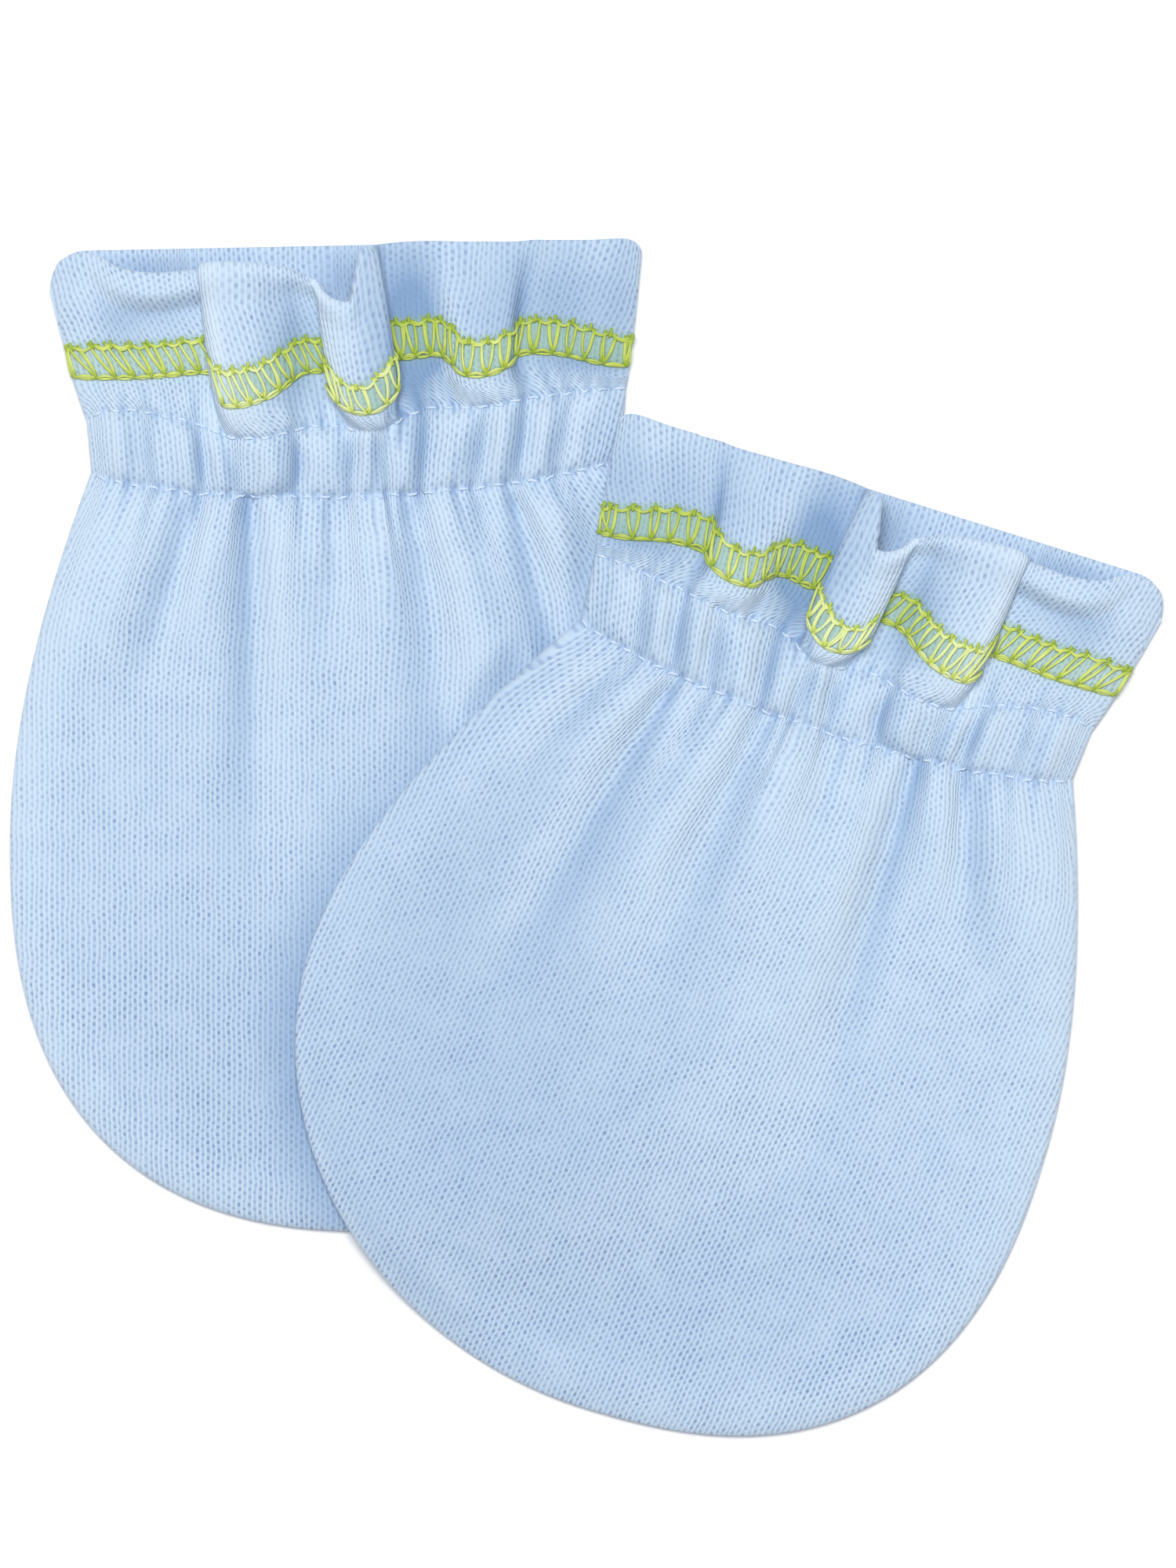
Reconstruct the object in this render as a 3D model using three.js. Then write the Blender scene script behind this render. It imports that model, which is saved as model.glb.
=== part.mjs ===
// A pair of newborn baby mittens in light blue cotton interlock, laid flat, the second one mirrored and
// lying half over the first. Each mitten is cut as two panels, sewn together round the hand with the seam
// inside. The wrist is gathered between two rows of stitching, and the cloth above it is a ruffle with a
// turned hem. Millimetres, +Z up.
//
// A mitten is drawn in its own frame: x across, y towards the cuff, the origin in the middle of the wrist.
// A place on a panel is (column, row). Columns run across and are counted in rows of the GATHERS table.
// Rows run from the cuff edge at 0, by the upper wrist stitching at 1 and the lower one at 2, to the tip at 3.
import * as THREE from 'three';

// Cloth and seams
const CLOTH = 1.0; // one panel's wall
const HEM = 1.2; // the ruffle's wall, where the hem doubles the cloth
const SEAM_GAP = 0.3; // between one panel and the next
const RIM_ROUND = 0.5; // how far the underside's edge turns in

// Heights of the upper panel's outer face over the surface that the mitten lies on
const RIM_Z = 2.35; // along the side seam
const STITCH_Z = 2.7; // in the two rows of wrist stitching
const PALM_Z = 2.5; // over the hand, where the panels lie on each other
const PUFF_Z = 1.0; // more, where the gathers open below the wrist
const CHANNEL_Z = 0.5; // more, between the rows of stitching
const SIDE_ROUND = 3.2; // how far in from the side seam the cloth reaches its height

// The ruffle
const HEM_STITCH_ROW = 0.7; // the row of the coloured hem stitching's lower edge
const LIP_WIDTH = 0.3; // the share of the ruffle that rolls outwards at its edge
const BACK_EDGE = { leftY: 22.3, rightY: 23.5, leftCorner: 3.6, rightCorner: 1.4 };

// One row for each pleat and hollow of the gathered wrist, from left to right. sx, sy: on the upper wrist
// stitching. pleat: how far it stands out in the wrist. gx, gy, gz: on the hem stitching. ex, ey, ez: on the
// ruffle's edge. lip: how far the edge rolls up.
const table = (names, rows) => rows.map((row) => Object.fromEntries(names.map((name, i) => [name, row[i]])));
const GATHERS = table(['at', 'sx', 'sy', 'pleat', 'gx', 'gy', 'gz', 'ex', 'ey', 'ez', 'lip'], [
  ['left seam', -27.0, 5.0, 0.0, -28.5, 9.5, 2.4, -30.7, 18.4, 2.4, 0],
  ['hollow', -25.4, 5.9, -0.3, -26.6, 9.4, 2.5, -29.8, 21.0, 2.5, 0],
  ['pleat', -23.6, 6.0, 0.7, -24.4, 9.3, 2.6, -27.6, 22.0, 2.8, 0.3],
  ['hollow', -20.0, 5.6, -0.3, -21.2, 9.4, 2.6, -24.8, 21.1, 3.0, 1.2],
  ['pleat', -17.0, 4.9, 0.8, -18.0, 9.7, 2.6, -20.8, 20.2, 3.1, 1.6],
  ['hollow', -15.4, 4.4, -0.7, -15.4, 10.0, 2.6, -17.2, 20.0, 3.1, 1.4],
  ['pleat', -13.6, 3.8, 0.7, -13.9, 9.8, 2.8, -15.0, 20.6, 3.2, 0.5],
  ['first wave foot', -12.2, 3.4, -0.5, -13.3, 7.6, 5.0, -14.0, 21.0, 4.6, 0],
  ['first wave crest', -9.2, 3.0, 1.2, -11.2, 6.5, 5.8, -12.0, 21.0, 5.5, 0],
  ['first wave side', -5.8, 3.9, -0.8, -8.0, 8.0, 5.0, -8.4, 20.6, 4.8, 0],
  ['pleat', -3.8, 4.3, 0.8, -5.2, 9.6, 3.4, -5.2, 20.3, 3.6, 0],
  ['pleat', -1.6, 4.6, 0.6, -3.0, 10.0, 2.8, -2.8, 19.2, 3.2, 0],
  ['second wave foot', 0.2, 4.2, -0.9, -1.4, 8.2, 4.6, -0.7, 17.4, 4.8, 0],
  ['second wave crest', 2.2, 3.8, 0.7, 1.2, 5.8, 6.0, 0.4, 19.0, 5.9, 0],
  ['second wave fin', 4.0, 4.3, -0.5, 3.5, 6.8, 5.5, 1.9, 22.4, 5.2, 0],
  ['pleat', 5.6, 5.4, 0.8, 4.3, 10.5, 2.8, 3.1, 23.0, 2.8, 0],
  ['hollow', 7.8, 6.2, -0.5, 6.8, 11.4, 2.5, 5.6, 23.2, 2.6, 0],
  ['pleat', 11.0, 6.3, 0.9, 9.8, 11.8, 2.8, 8.8, 23.3, 2.6, 0],
  ['third wave foot', 12.9, 6.3, -0.8, 11.8, 10.6, 4.1, 11.6, 23.3, 2.9, 0],
  ['third wave crest', 15.2, 6.6, 0.9, 14.0, 9.8, 4.9, 14.2, 23.3, 3.1, 0],
  ['third wave side', 17.3, 7.0, -0.8, 16.2, 10.8, 4.0, 16.4, 23.3, 2.9, 0],
  ['pleat', 19.7, 7.4, 0.9, 18.4, 11.8, 2.7, 18.8, 23.4, 2.6, 0],
  ['hollow', 21.6, 7.7, -0.4, 20.8, 11.8, 2.5, 21.2, 23.4, 2.5, 0],
  ['flat', 24.8, 8.1, 0.2, 24.6, 11.3, 2.5, 28.3, 23.4, 2.5, 0],
  ['right seam', 28.0, 8.3, 0.0, 28.4, 10.6, 2.4, 29.6, 22.0, 2.4, 0],
]);
const LAST_COLUMN = GATHERS.length - 1;

// The folds that run down from the wrist. x: where it starts on the lower stitching. lean: how far it moves
// across for each millimetre down. height is negative in a hollow. length and width as they lie.
const HAND_FOLDS = [
  { x: -16.4, lean: -0.55, length: 26, width: 2.2, height: 0.55 },
  { x: -15.0, lean: -0.5, length: 13, width: 1.2, height: -0.7 },
  { x: -12.0, lean: -0.05, length: 20, width: 1.9, height: 0.5 },
  { x: -9.6, lean: 0.05, length: 30, width: 1.6, height: -0.8 },
  { x: -6.0, lean: 0.04, length: 22, width: 1.9, height: 0.5 },
  { x: -3.4, lean: 0.08, length: 20, width: 1.4, height: -0.5 },
  { x: 1.6, lean: 0.02, length: 24, width: 2.2, height: 0.5 },
  { x: 7.6, lean: 0.14, length: 20, width: 1.5, height: -0.6 },
  { x: 11.4, lean: 0.22, length: 22, width: 2.0, height: 0.5 },
  { x: 16.0, lean: 0.27, length: 20, width: 1.3, height: -0.9 },
  { x: 19.6, lean: 0.4, length: 22, width: 1.9, height: 0.6 },
  { x: 23.4, lean: 0.6, length: 12, width: 1.5, height: -0.4 },
];

// The hand's outline: each side bends from the wrist to its widest point, and a rounded arc goes on to the tip.
const WRIST = { leftX: -26.5, leftY: -0.2, rightX: 27.5, rightY: 1.5, sag: 3.4, sagPower: 0.6 };
const LEFT_SIDE = { bend: [[-31.0, -12.0], [-34.8, -25.6]], widest: [-34.8, -38.0], arcPower: 2.5 };
const RIGHT_SIDE = { bend: [[33.6, -7.6], [45.1, -25.6]], widest: [45.1, -40.0], arcPower: 2.0 };
const TIP = [3.2, -77.7];
const HAND_LENGTH = 75; // from the lower wrist stitching to the tip
const SIDE_ENDS_AT = 0.5; // the share of each arc that belongs to the side, the rest being the bottom

// How the two lie
const UNDER = { x: -23.9, y: 37.5, turn: 0, size: 1, mirrored: false };
const OVER = { x: 24.9, y: 13.4, turn: -16.3, size: 0.975, mirrored: true };
const LIES_AT = 3.2; // the second mitten's underside where it lies on the first
const PRESSED_Z = 2.7; // the first mitten's top there
const PRESS_REACH = 4; // the pressing starts this far outside the second mitten
const DRAPE = { outside: 13, inside: 4 }; // the second one comes down over this much round the first one's edge

const BLUE = 0xc3d8f1;

const clamp = (value, low, high) => Math.min(high, Math.max(low, value));
const mix = (a, b, share) => a + (b - a) * share;
const smooth = (from, to, value) => {
  const t = clamp((value - from) / (to - from), 0, 1);
  return t * t * (3 - 2 * t);
};

// A value of the GATHERS table between its rows, by a Catmull-Rom spline.
function gather(key, column) {
  const c = clamp(column, 0, LAST_COLUMN);
  const i = Math.min(Math.floor(c), LAST_COLUMN - 1);
  const t = c - i;
  const [a, b, d, e] = [i - 1, i, i + 1, i + 2].map((n) => GATHERS[clamp(n, 0, LAST_COLUMN)][key]);
  return b + 0.5 * t * (d - a + t * (2 * a - 5 * b + 4 * d - e + t * (3 * (b - d) + e - a)));
}

// A curve that goes through three values at 0, middle and 1 and never swings past them.
function through(first, second, third, middle, t) {
  const before = (second - first) / middle;
  const after = (third - second) / (1 - middle);
  const slope = before * after > 0 ? (2 * before * after) / (before + after) : 0;
  const [from, to, span, s, startSlope, endSlope] = t < middle
    ? [first, second, middle, t / middle, 1.5 * before - 0.5 * slope, slope]
    : [second, third, 1 - middle, (t - middle) / (1 - middle), slope, 1.5 * after - 0.5 * slope];
  const s2 = s * s;
  const s3 = s2 * s;
  return (2 * s3 - 3 * s2 + 1) * from + (s3 - 2 * s2 + s) * span * startSlope
    + (3 * s2 - 2 * s3) * to + (s3 - s2) * span * endSlope;
}

// The lower row of wrist stitching, which sags between its ends.
function wristPoint(column) {
  const [start, end] = [gather('sx', 0), gather('sx', LAST_COLUMN)];
  const across = (gather('sx', column) - start) / (end - start);
  const sag = WRIST.sag * Math.sin(Math.PI * clamp(across, 0, 1)) ** WRIST.sagPower;
  return [mix(WRIST.leftX, WRIST.rightX, across), mix(WRIST.leftY, WRIST.rightY, across) - sag];
}

// A point on the rounded arc between a side's widest point (0) and the tip (1).
function arcPoint(side, share) {
  const angle = (share * Math.PI) / 2;
  const power = 2 / side.arcPower;
  const [x, y] = side.widest;
  return [TIP[0] + (x - TIP[0]) * Math.cos(angle) ** power, y + (TIP[1] - y) * Math.sin(angle) ** power];
}

// A side of the hand from the wrist (0) to where the bottom takes over (1).
function sidePoint(side, wristEnd, share) {
  const widestShare = 0.55;
  if (share > widestShare) {
    return arcPoint(side, (SIDE_ENDS_AT * (share - widestShare)) / (1 - widestShare));
  }
  const points = [wristEnd, ...side.bend, side.widest].map(([x, y]) => new THREE.Vector2(x, y));
  return new THREE.CubicBezierCurve(...points).getPoint(share / widestShare).toArray();
}

function bottomPoint(share) {
  const turned = Math.abs(2 * share - 1) ** 1.15;
  return arcPoint(share < 0.5 ? LEFT_SIDE : RIGHT_SIDE, 1 - (1 - SIDE_ENDS_AT) * turned);
}

// The hand's plan, filled in between the wrist, the two sides and the bottom.
function handPoint(column, down) {
  const even = smooth(0, 0.5, down);
  const wrist = wristPoint(column);
  const gathered = (wrist[0] - WRIST.leftX) / (WRIST.rightX - WRIST.leftX);
  const across = mix(gathered, column / LAST_COLUMN, even);
  const left = sidePoint(LEFT_SIDE, wristPoint(0), down);
  const right = sidePoint(RIGHT_SIDE, wristPoint(LAST_COLUMN), down);
  const bottom = bottomPoint(across);
  const corners = [wristPoint(0), wristPoint(LAST_COLUMN), bottomPoint(0), bottomPoint(1)];
  return [0, 1].map((k) => {
    const ruled = mix(wrist[k], bottom[k], down) + mix(left[k], right[k], across);
    const bilinear = [0, 2].map((i) => mix(corners[i][k], corners[i + 1][k], across));
    return ruled - mix(bilinear[0], bilinear[1], down);
  });
}

// The back's straight cuff edge with its rounded corners.
function backEdgeY(x) {
  const [left, right] = [GATHERS[0].ex, GATHERS[LAST_COLUMN].ex];
  const drop = (radius, inside) => {
    const short = Math.max(0, radius - inside);
    return radius - Math.sqrt(radius * radius - Math.min(short, radius) ** 2);
  };
  const line = mix(BACK_EDGE.leftY, BACK_EDGE.rightY, (x - left) / (right - left));
  return line - drop(BACK_EDGE.leftCorner, x - left) - drop(BACK_EDGE.rightCorner, right - x);
}

// Where a place on a panel lies in plan, and the height of the ruffle there. A flat panel has no waves.
function cuffPoint(column, row, flat) {
  const v = 1 - row;
  const middle = 1 - HEM_STITCH_ROW;
  const value = (key) => gather(key, column);
  const greenEnds = ['gy', 'sy'].map((key) => {
    const share = (value('sx') - gather('sx', 0)) / (gather('sx', LAST_COLUMN) - gather('sx', 0));
    return mix(gather(key, 0), gather(key, LAST_COLUMN), share);
  });
  const x = through(value('sx'), value('gx'), value('ex'), middle, v);
  if (flat) return [x, through(greenEnds[1], greenEnds[0], backEdgeY(value('ex')), middle, v), 0];
  const y = through(value('sy'), value('gy'), value('ey'), middle, v);
  const lip = value('lip') * Math.sin(Math.PI * clamp(0.18 + row / LIP_WIDTH, 0, 1));
  return [x, y, through(STITCH_Z, value('gz'), value('ez'), middle, v) + lip];
}

function plan(column, row, flat) {
  if (row <= 1) return cuffPoint(column, row, flat);
  if (row >= 2) return handPoint(column, row - 2);
  const upper = cuffPoint(column, 1, flat);
  const lower = wristPoint(column);
  return [mix(upper[0], lower[0], row - 1), mix(upper[1], lower[1], row - 1)];
}

function handFolds(x, y) {
  let height = 0;
  for (const fold of HAND_FOLDS) {
    const down = -2 - y;
    const off = (x - fold.x - fold.lean * clamp(down, 0, fold.length)) / (fold.width * (1 + down / 40));
    const along = smooth(-1, 3, down) * (1 - smooth(fold.length * 0.4, fold.length, down));
    height += fold.height * along * Math.exp(-off * off);
  }
  return height;
}

// The height of the upper panel's outer face.
function upperZ(column, row) {
  const [x, y, ruffleZ] = plan(column, row, false);
  if (row <= 1) return ruffleZ;
  const first = plan(0, row, false);
  const last = plan(LAST_COLUMN, row, false);
  const inside = Math.min(x - first[0], last[0] - x, (3 - row) * HAND_LENGTH);
  const round = Math.sqrt(1 - (1 - clamp(inside / SIDE_ROUND, 0, 1)) ** 2);
  if (row <= 2) {
    const bulge = Math.sin(Math.PI * (row - 1)) ** 0.7;
    return mix(RIM_Z, STITCH_Z, round) + bulge * round * (CHANNEL_Z + gather('pleat', column));
  }
  const down = row - 2;
  const puff = PUFF_Z * smooth(0, 0.08, down) * (1 - smooth(0.12, 0.5, down));
  const body = mix(STITCH_Z, PALM_Z, smooth(0, 0.1, down)) + puff + handFolds(x, y);
  return mix(RIM_Z, body, round);
}

// The outline of a whole mitten in its own frame, and how far inside it a point lies (negative outside).
const OUTLINE = (() => {
  const points = [];
  for (let row = 0; row < 3; row += 0.1) points.push(plan(0, row, true));
  for (let column = 0; column < LAST_COLUMN; column += 1) points.push(plan(column, 3, true));
  for (let row = 3; row > 0; row -= 0.1) points.push(plan(LAST_COLUMN, row, true));
  for (let column = LAST_COLUMN; column > 0; column -= 1) points.push(plan(column, 0, true));
  return points;
})();

function insideOutline(x, y) {
  let nearest = Infinity;
  let inside = false;
  OUTLINE.forEach(([ax, ay], i) => {
    const [bx, by] = OUTLINE[(i + 1) % OUTLINE.length];
    const t = clamp(((x - ax) * (bx - ax) + (y - ay) * (by - ay)) / ((bx - ax) ** 2 + (by - ay) ** 2), 0, 1);
    nearest = Math.min(nearest, Math.hypot(x - mix(ax, bx, t), y - mix(ay, by, t)));
    if (ay > y !== by > y && x < ax + ((y - ay) * (bx - ax)) / (by - ay)) inside = !inside;
  });
  return inside ? nearest : -nearest;
}

// The place of a mitten as a matrix, and a plan point of one mitten as seen from the other.
function placeMatrix({ x, y, turn, size, mirrored }) {
  const turned = new THREE.Matrix4().makeRotationZ(THREE.MathUtils.degToRad(turn));
  const scaled = new THREE.Matrix4().makeScale(mirrored ? -size : size, size, 1);
  return new THREE.Matrix4().makeTranslation(x, y, 0).multiply(turned).multiply(scaled);
}

const seenFrom = (own, other) => placeMatrix(other).invert().multiply(placeMatrix(own));
const UNDER_TO_OVER = seenFrom(UNDER, OVER);
const OVER_TO_UNDER = seenFrom(OVER, UNDER);

function insideOther(toOther, otherSize, x, y) {
  const point = new THREE.Vector3(x, y, 0).applyMatrix4(toOther);
  return insideOutline(point.x, point.y) * otherSize;
}

// Each mitten's way of lying: the height of what it lies on, and how its top is pressed.
const LIES = {
  under: {
    ground: () => 0,
    top: (x, y, z) => {
      const pressed = smooth(-PRESS_REACH, 0, insideOther(UNDER_TO_OVER, OVER.size, x, y));
      return mix(z, Math.min(z, PRESSED_Z), pressed);
    },
  },
  over: {
    ground: (x, y) => {
      const inside = insideOther(OVER_TO_UNDER, UNDER.size, x, y);
      return LIES_AT * smooth(-DRAPE.outside, DRAPE.inside, inside);
    },
    top: (x, y, z) => z,
  },
};

function upperOuter(lies, column, row) {
  const [x, y] = plan(column, row, false);
  return new THREE.Vector3(x, y, lies.top(x, y, upperZ(column, row)) + lies.ground(x, y));
}

// The same place on the inner face, one wall in along the normal but never into the lower panel.
function upperInner(lies, column, row) {
  const step = 0.02;
  const at = (c, r) => upperOuter(lies, clamp(c, 0, LAST_COLUMN), clamp(r, 0, 3));
  const across = at(column + step, row).sub(at(column - step, row));
  const down = at(column, row + step).sub(at(column, row - step));
  const normal = down.cross(across).normalize();
  const wall = row < HEM_STITCH_ROW ? HEM : CLOTH;
  const outer = upperOuter(lies, column, row);
  const inner = outer.clone().addScaledVector(normal, -wall);
  const floor = lies.ground(inner.x, inner.y) + CLOTH + SEAM_GAP;
  inner.z = clamp(inner.z, Math.min(floor, outer.z - 0.8 * wall), outer.z - 0.35 * wall);
  return inner;
}

function lowerTop(lies, column, row) {
  const [x, y] = plan(column, row, true);
  return new THREE.Vector3(x, y, lies.ground(x, y) + CLOTH);
}

function lowerBottom(lies, column, row) {
  const [x, y] = plan(column, row, true);
  const [midX, midY] = plan(clamp(column, 1, LAST_COLUMN - 1), clamp(row, 0.1, 2.95), true);
  const away = Math.hypot(midX - x, midY - y);
  const share = away > 0 ? RIM_ROUND / away : 0;
  return new THREE.Vector3(mix(x, midX, share), mix(y, midY, share), lies.ground(x, y));
}

// Triangles between two rows of points, the second as fine as the first or half as fine.
function strip(upper, lower) {
  const faces = [];
  if (upper.length === lower.length) {
    for (let i = 0; i + 1 < upper.length; i += 1) {
      faces.push([upper[i], lower[i], upper[i + 1]], [upper[i + 1], lower[i], lower[i + 1]]);
    }
    return faces;
  }
  lower.slice(0, -1).forEach((start, i) => {
    const [a, b, c] = upper.slice(2 * i, 2 * i + 3);
    faces.push([a, start, b], [b, start, lower[i + 1]], [b, lower[i + 1], c]);
  });
  return faces;
}

// A closed wall between an outer and an inner face, over a grid of rows that each have their own columns.
function wall(grid, face, otherFace) {
  const points = [];
  const number = (surface) => grid.map(({ row, columns }) => (
    columns.map((column) => points.push(surface(column, row)) - 1)
  ));
  const [top, under] = [number(face), number(otherFace)];
  const faces = [];
  for (let i = 0; i + 1 < grid.length; i += 1) {
    faces.push(...strip(top[i], top[i + 1]));
    faces.push(...strip(under[i], under[i + 1]).map(([a, b, c]) => [a, c, b]));
  }
  const round = (rows) => [
    ...rows.map((row) => row[0]),
    ...rows.at(-1).slice(1),
    ...rows.slice(0, -1).reverse().map((row) => row.at(-1)),
    ...rows[0].slice(1, -1).reverse(),
  ];
  const [rim, underRim] = [round(top), round(under)];
  rim.forEach((a, i) => {
    const j = (i + 1) % rim.length;
    faces.push([a, underRim[i], underRim[j]], [a, underRim[j], rim[j]]);
  });
  const geometry = new THREE.BufferGeometry().setFromPoints(points).setIndex(faces.flat());
  geometry.computeVertexNormals();
  return geometry;
}

// The grids. Columns are closest where the waves and pleats are, and rows where the second mitten comes down
// over the first one's edge.
const everyColumn = (step) => Array.from({ length: LAST_COLUMN / step + 1 }, (_, i) => i * step);
const evenRows = (from, to, count) => Array.from({ length: count }, (_, i) => mix(from, to, (i + 1) / count));
const withColumns = (rows, step) => rows.map((row) => ({ row, columns: everyColumn(step) }));
const WAVE_ROWS = [0, 0.06, 0.13, 0.21, 0.32, 0.45, 0.58, HEM_STITCH_ROW, 0.85, 1, 1.15, 1.5, 1.85, 2];
const FLAT_ROWS = [0, 0.12, 0.25, 0.4, 0.55, HEM_STITCH_ROW, 0.85, 1, 1.35, 1.7, 2];
const FOLD_ROWS = [2.03, 2.07, 2.12, 2.18, 2.25];
const PALM_ROWS = evenRows(FOLD_ROWS.at(-1), 3, 11);
const DRAPE_ROWS = evenRows(FOLD_ROWS.at(-1), 3, 19);
const GRIDS = {
  underUpper: [...withColumns([...WAVE_ROWS, ...FOLD_ROWS], 0.5), ...withColumns(PALM_ROWS, 1)],
  underLower: withColumns([...FLAT_ROWS, 2.16, ...PALM_ROWS], 1),
  overUpper: [...withColumns([...WAVE_ROWS, ...FOLD_ROWS], 0.5), ...withColumns(DRAPE_ROWS, 1)],
  overLower: [...withColumns(FLAT_ROWS, 0.5), ...withColumns([...FOLD_ROWS, ...DRAPE_ROWS], 1)],
};

function knitMesh(name, geometry) {
  const material = new THREE.MeshStandardMaterial({ color: BLUE, roughness: 0.95, metalness: 0 });
  const mesh = new THREE.Mesh(geometry, material);
  mesh.name = name;
  return mesh;
}

function mitten(name, place, lies, upperGrid, lowerGrid) {
  const group = new THREE.Group();
  const bind = (surface) => (column, row) => surface(lies, column, row);
  group.add(knitMesh(`${name}_lower_panel`, wall(lowerGrid, bind(lowerTop), bind(lowerBottom))));
  group.add(knitMesh(`${name}_upper_panel`, wall(upperGrid, bind(upperOuter), bind(upperInner))));
  placeMatrix(place).decompose(group.position, group.quaternion, group.scale);
  return group;
}

const pair = new THREE.Group();
pair.add(mitten('under_mitten', UNDER, LIES.under, GRIDS.underUpper, GRIDS.underLower));
pair.add(mitten('over_mitten', OVER, LIES.over, GRIDS.overUpper, GRIDS.overLower));

// The origin is under the middle of the pair.
pair.updateMatrixWorld(true);
const middle = new THREE.Box3().setFromObject(pair, true).getCenter(new THREE.Vector3());
pair.position.set(-middle.x, -middle.y, 0);

export default pair;
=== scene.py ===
"""A pair of newborn baby mittens in light blue cotton interlock, laid flat, the second one half over the first.

Each mitten is a front and a back panel of thin knit, joined along the sides and the tip with the seam inside. The
wrist is gathered between two rows of pale stitching, and the ruffle's hem is held by a ladder of lime thread.
Sizes are in millimetres until a mesh is made. A place on a panel is (column, row), as in the solids: columns are
the rows of GATHERS, and rows run from the cuff edge at 0, by the two rows of wrist stitching at 1 and 2, to the
tip at 3.
"""

import math
import random

import bpy
import numpy as np
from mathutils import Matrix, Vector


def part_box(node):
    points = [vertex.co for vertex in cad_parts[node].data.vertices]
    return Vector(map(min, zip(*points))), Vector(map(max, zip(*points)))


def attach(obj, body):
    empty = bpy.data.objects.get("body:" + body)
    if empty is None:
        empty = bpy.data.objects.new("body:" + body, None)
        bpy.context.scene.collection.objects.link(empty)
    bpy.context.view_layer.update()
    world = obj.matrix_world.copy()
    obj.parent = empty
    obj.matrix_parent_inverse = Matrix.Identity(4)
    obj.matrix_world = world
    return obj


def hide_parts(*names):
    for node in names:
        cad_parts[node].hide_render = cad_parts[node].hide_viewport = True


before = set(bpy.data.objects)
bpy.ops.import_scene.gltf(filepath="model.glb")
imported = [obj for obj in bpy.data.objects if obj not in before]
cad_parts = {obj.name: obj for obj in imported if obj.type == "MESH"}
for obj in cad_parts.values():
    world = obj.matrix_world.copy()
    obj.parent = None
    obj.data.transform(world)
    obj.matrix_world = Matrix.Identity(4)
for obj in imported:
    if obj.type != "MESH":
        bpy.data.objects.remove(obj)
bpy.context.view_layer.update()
bpy.ops.object.select_all(action="DESELECT")

MM = 0.001

# The cloth
CLOTH = 0.75  # one layer of knit
HEM = 0.3  # how much the turned hem adds on the outside
REST_Z = 0.12  # the underside, which leaves room for its threads
BACK_TOP_Z = 1.0  # the back panel's upper face
SEAM_Z = 0.8  # the side seam, half way up
SEAM_PARTING = 0.09  # each panel's face from the middle of the seam
SEAM_WALL = 0.06
RIM_Z = 2.35
STITCH_Z = 2.65  # in the rows of wrist stitching
PALM_Z = 2.5
PUFF_Z = 0.9
CHANNEL_Z = 0.6
SIDE_ROUND = 4.6  # how far in from the seam the cloth has its full height
SIDE_FOLD = 0.6  # the tight turn at the seam itself
FOLD_SHARE = 0.3  # how much of the height that turn takes

# The ruffle
HEM_ROW = 0.7  # the lower edge of the lime stitching
HEM_TOP_ROW = 0.485  # its upper edge
LIP_STEP = 0.15  # how much of the ruffle the rolled edge takes to rise
WAVE_FOOT = 0.55  # how much of a wave's height is left at the stitching below it
LEAN_ROWS = 0.3  # how much of the ruffle the wales lean over, from the hem stitching up
CUFF_LENGTH = 17.0  # from the edge to the upper wrist stitching, along the cloth
CHANNEL_LENGTH = 7.0
# Rows of stitching: where, how far their pull reaches above and below, and how deep it is
STITCH_ROWS = [
    (HEM_TOP_ROW, 0.02, 0.02, 0.12),
    (HEM_ROW, 0.02, 0.02, 0.12),
    (1.0, 0.035, 0.1, 0.14),
    (2.0, 0.1, 0.008, 0.14),
]
BACK_EDGE = {"left_y": 22.3, "right_y": 23.5, "left_corner": 3.6, "right_corner": 1.4}

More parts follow.
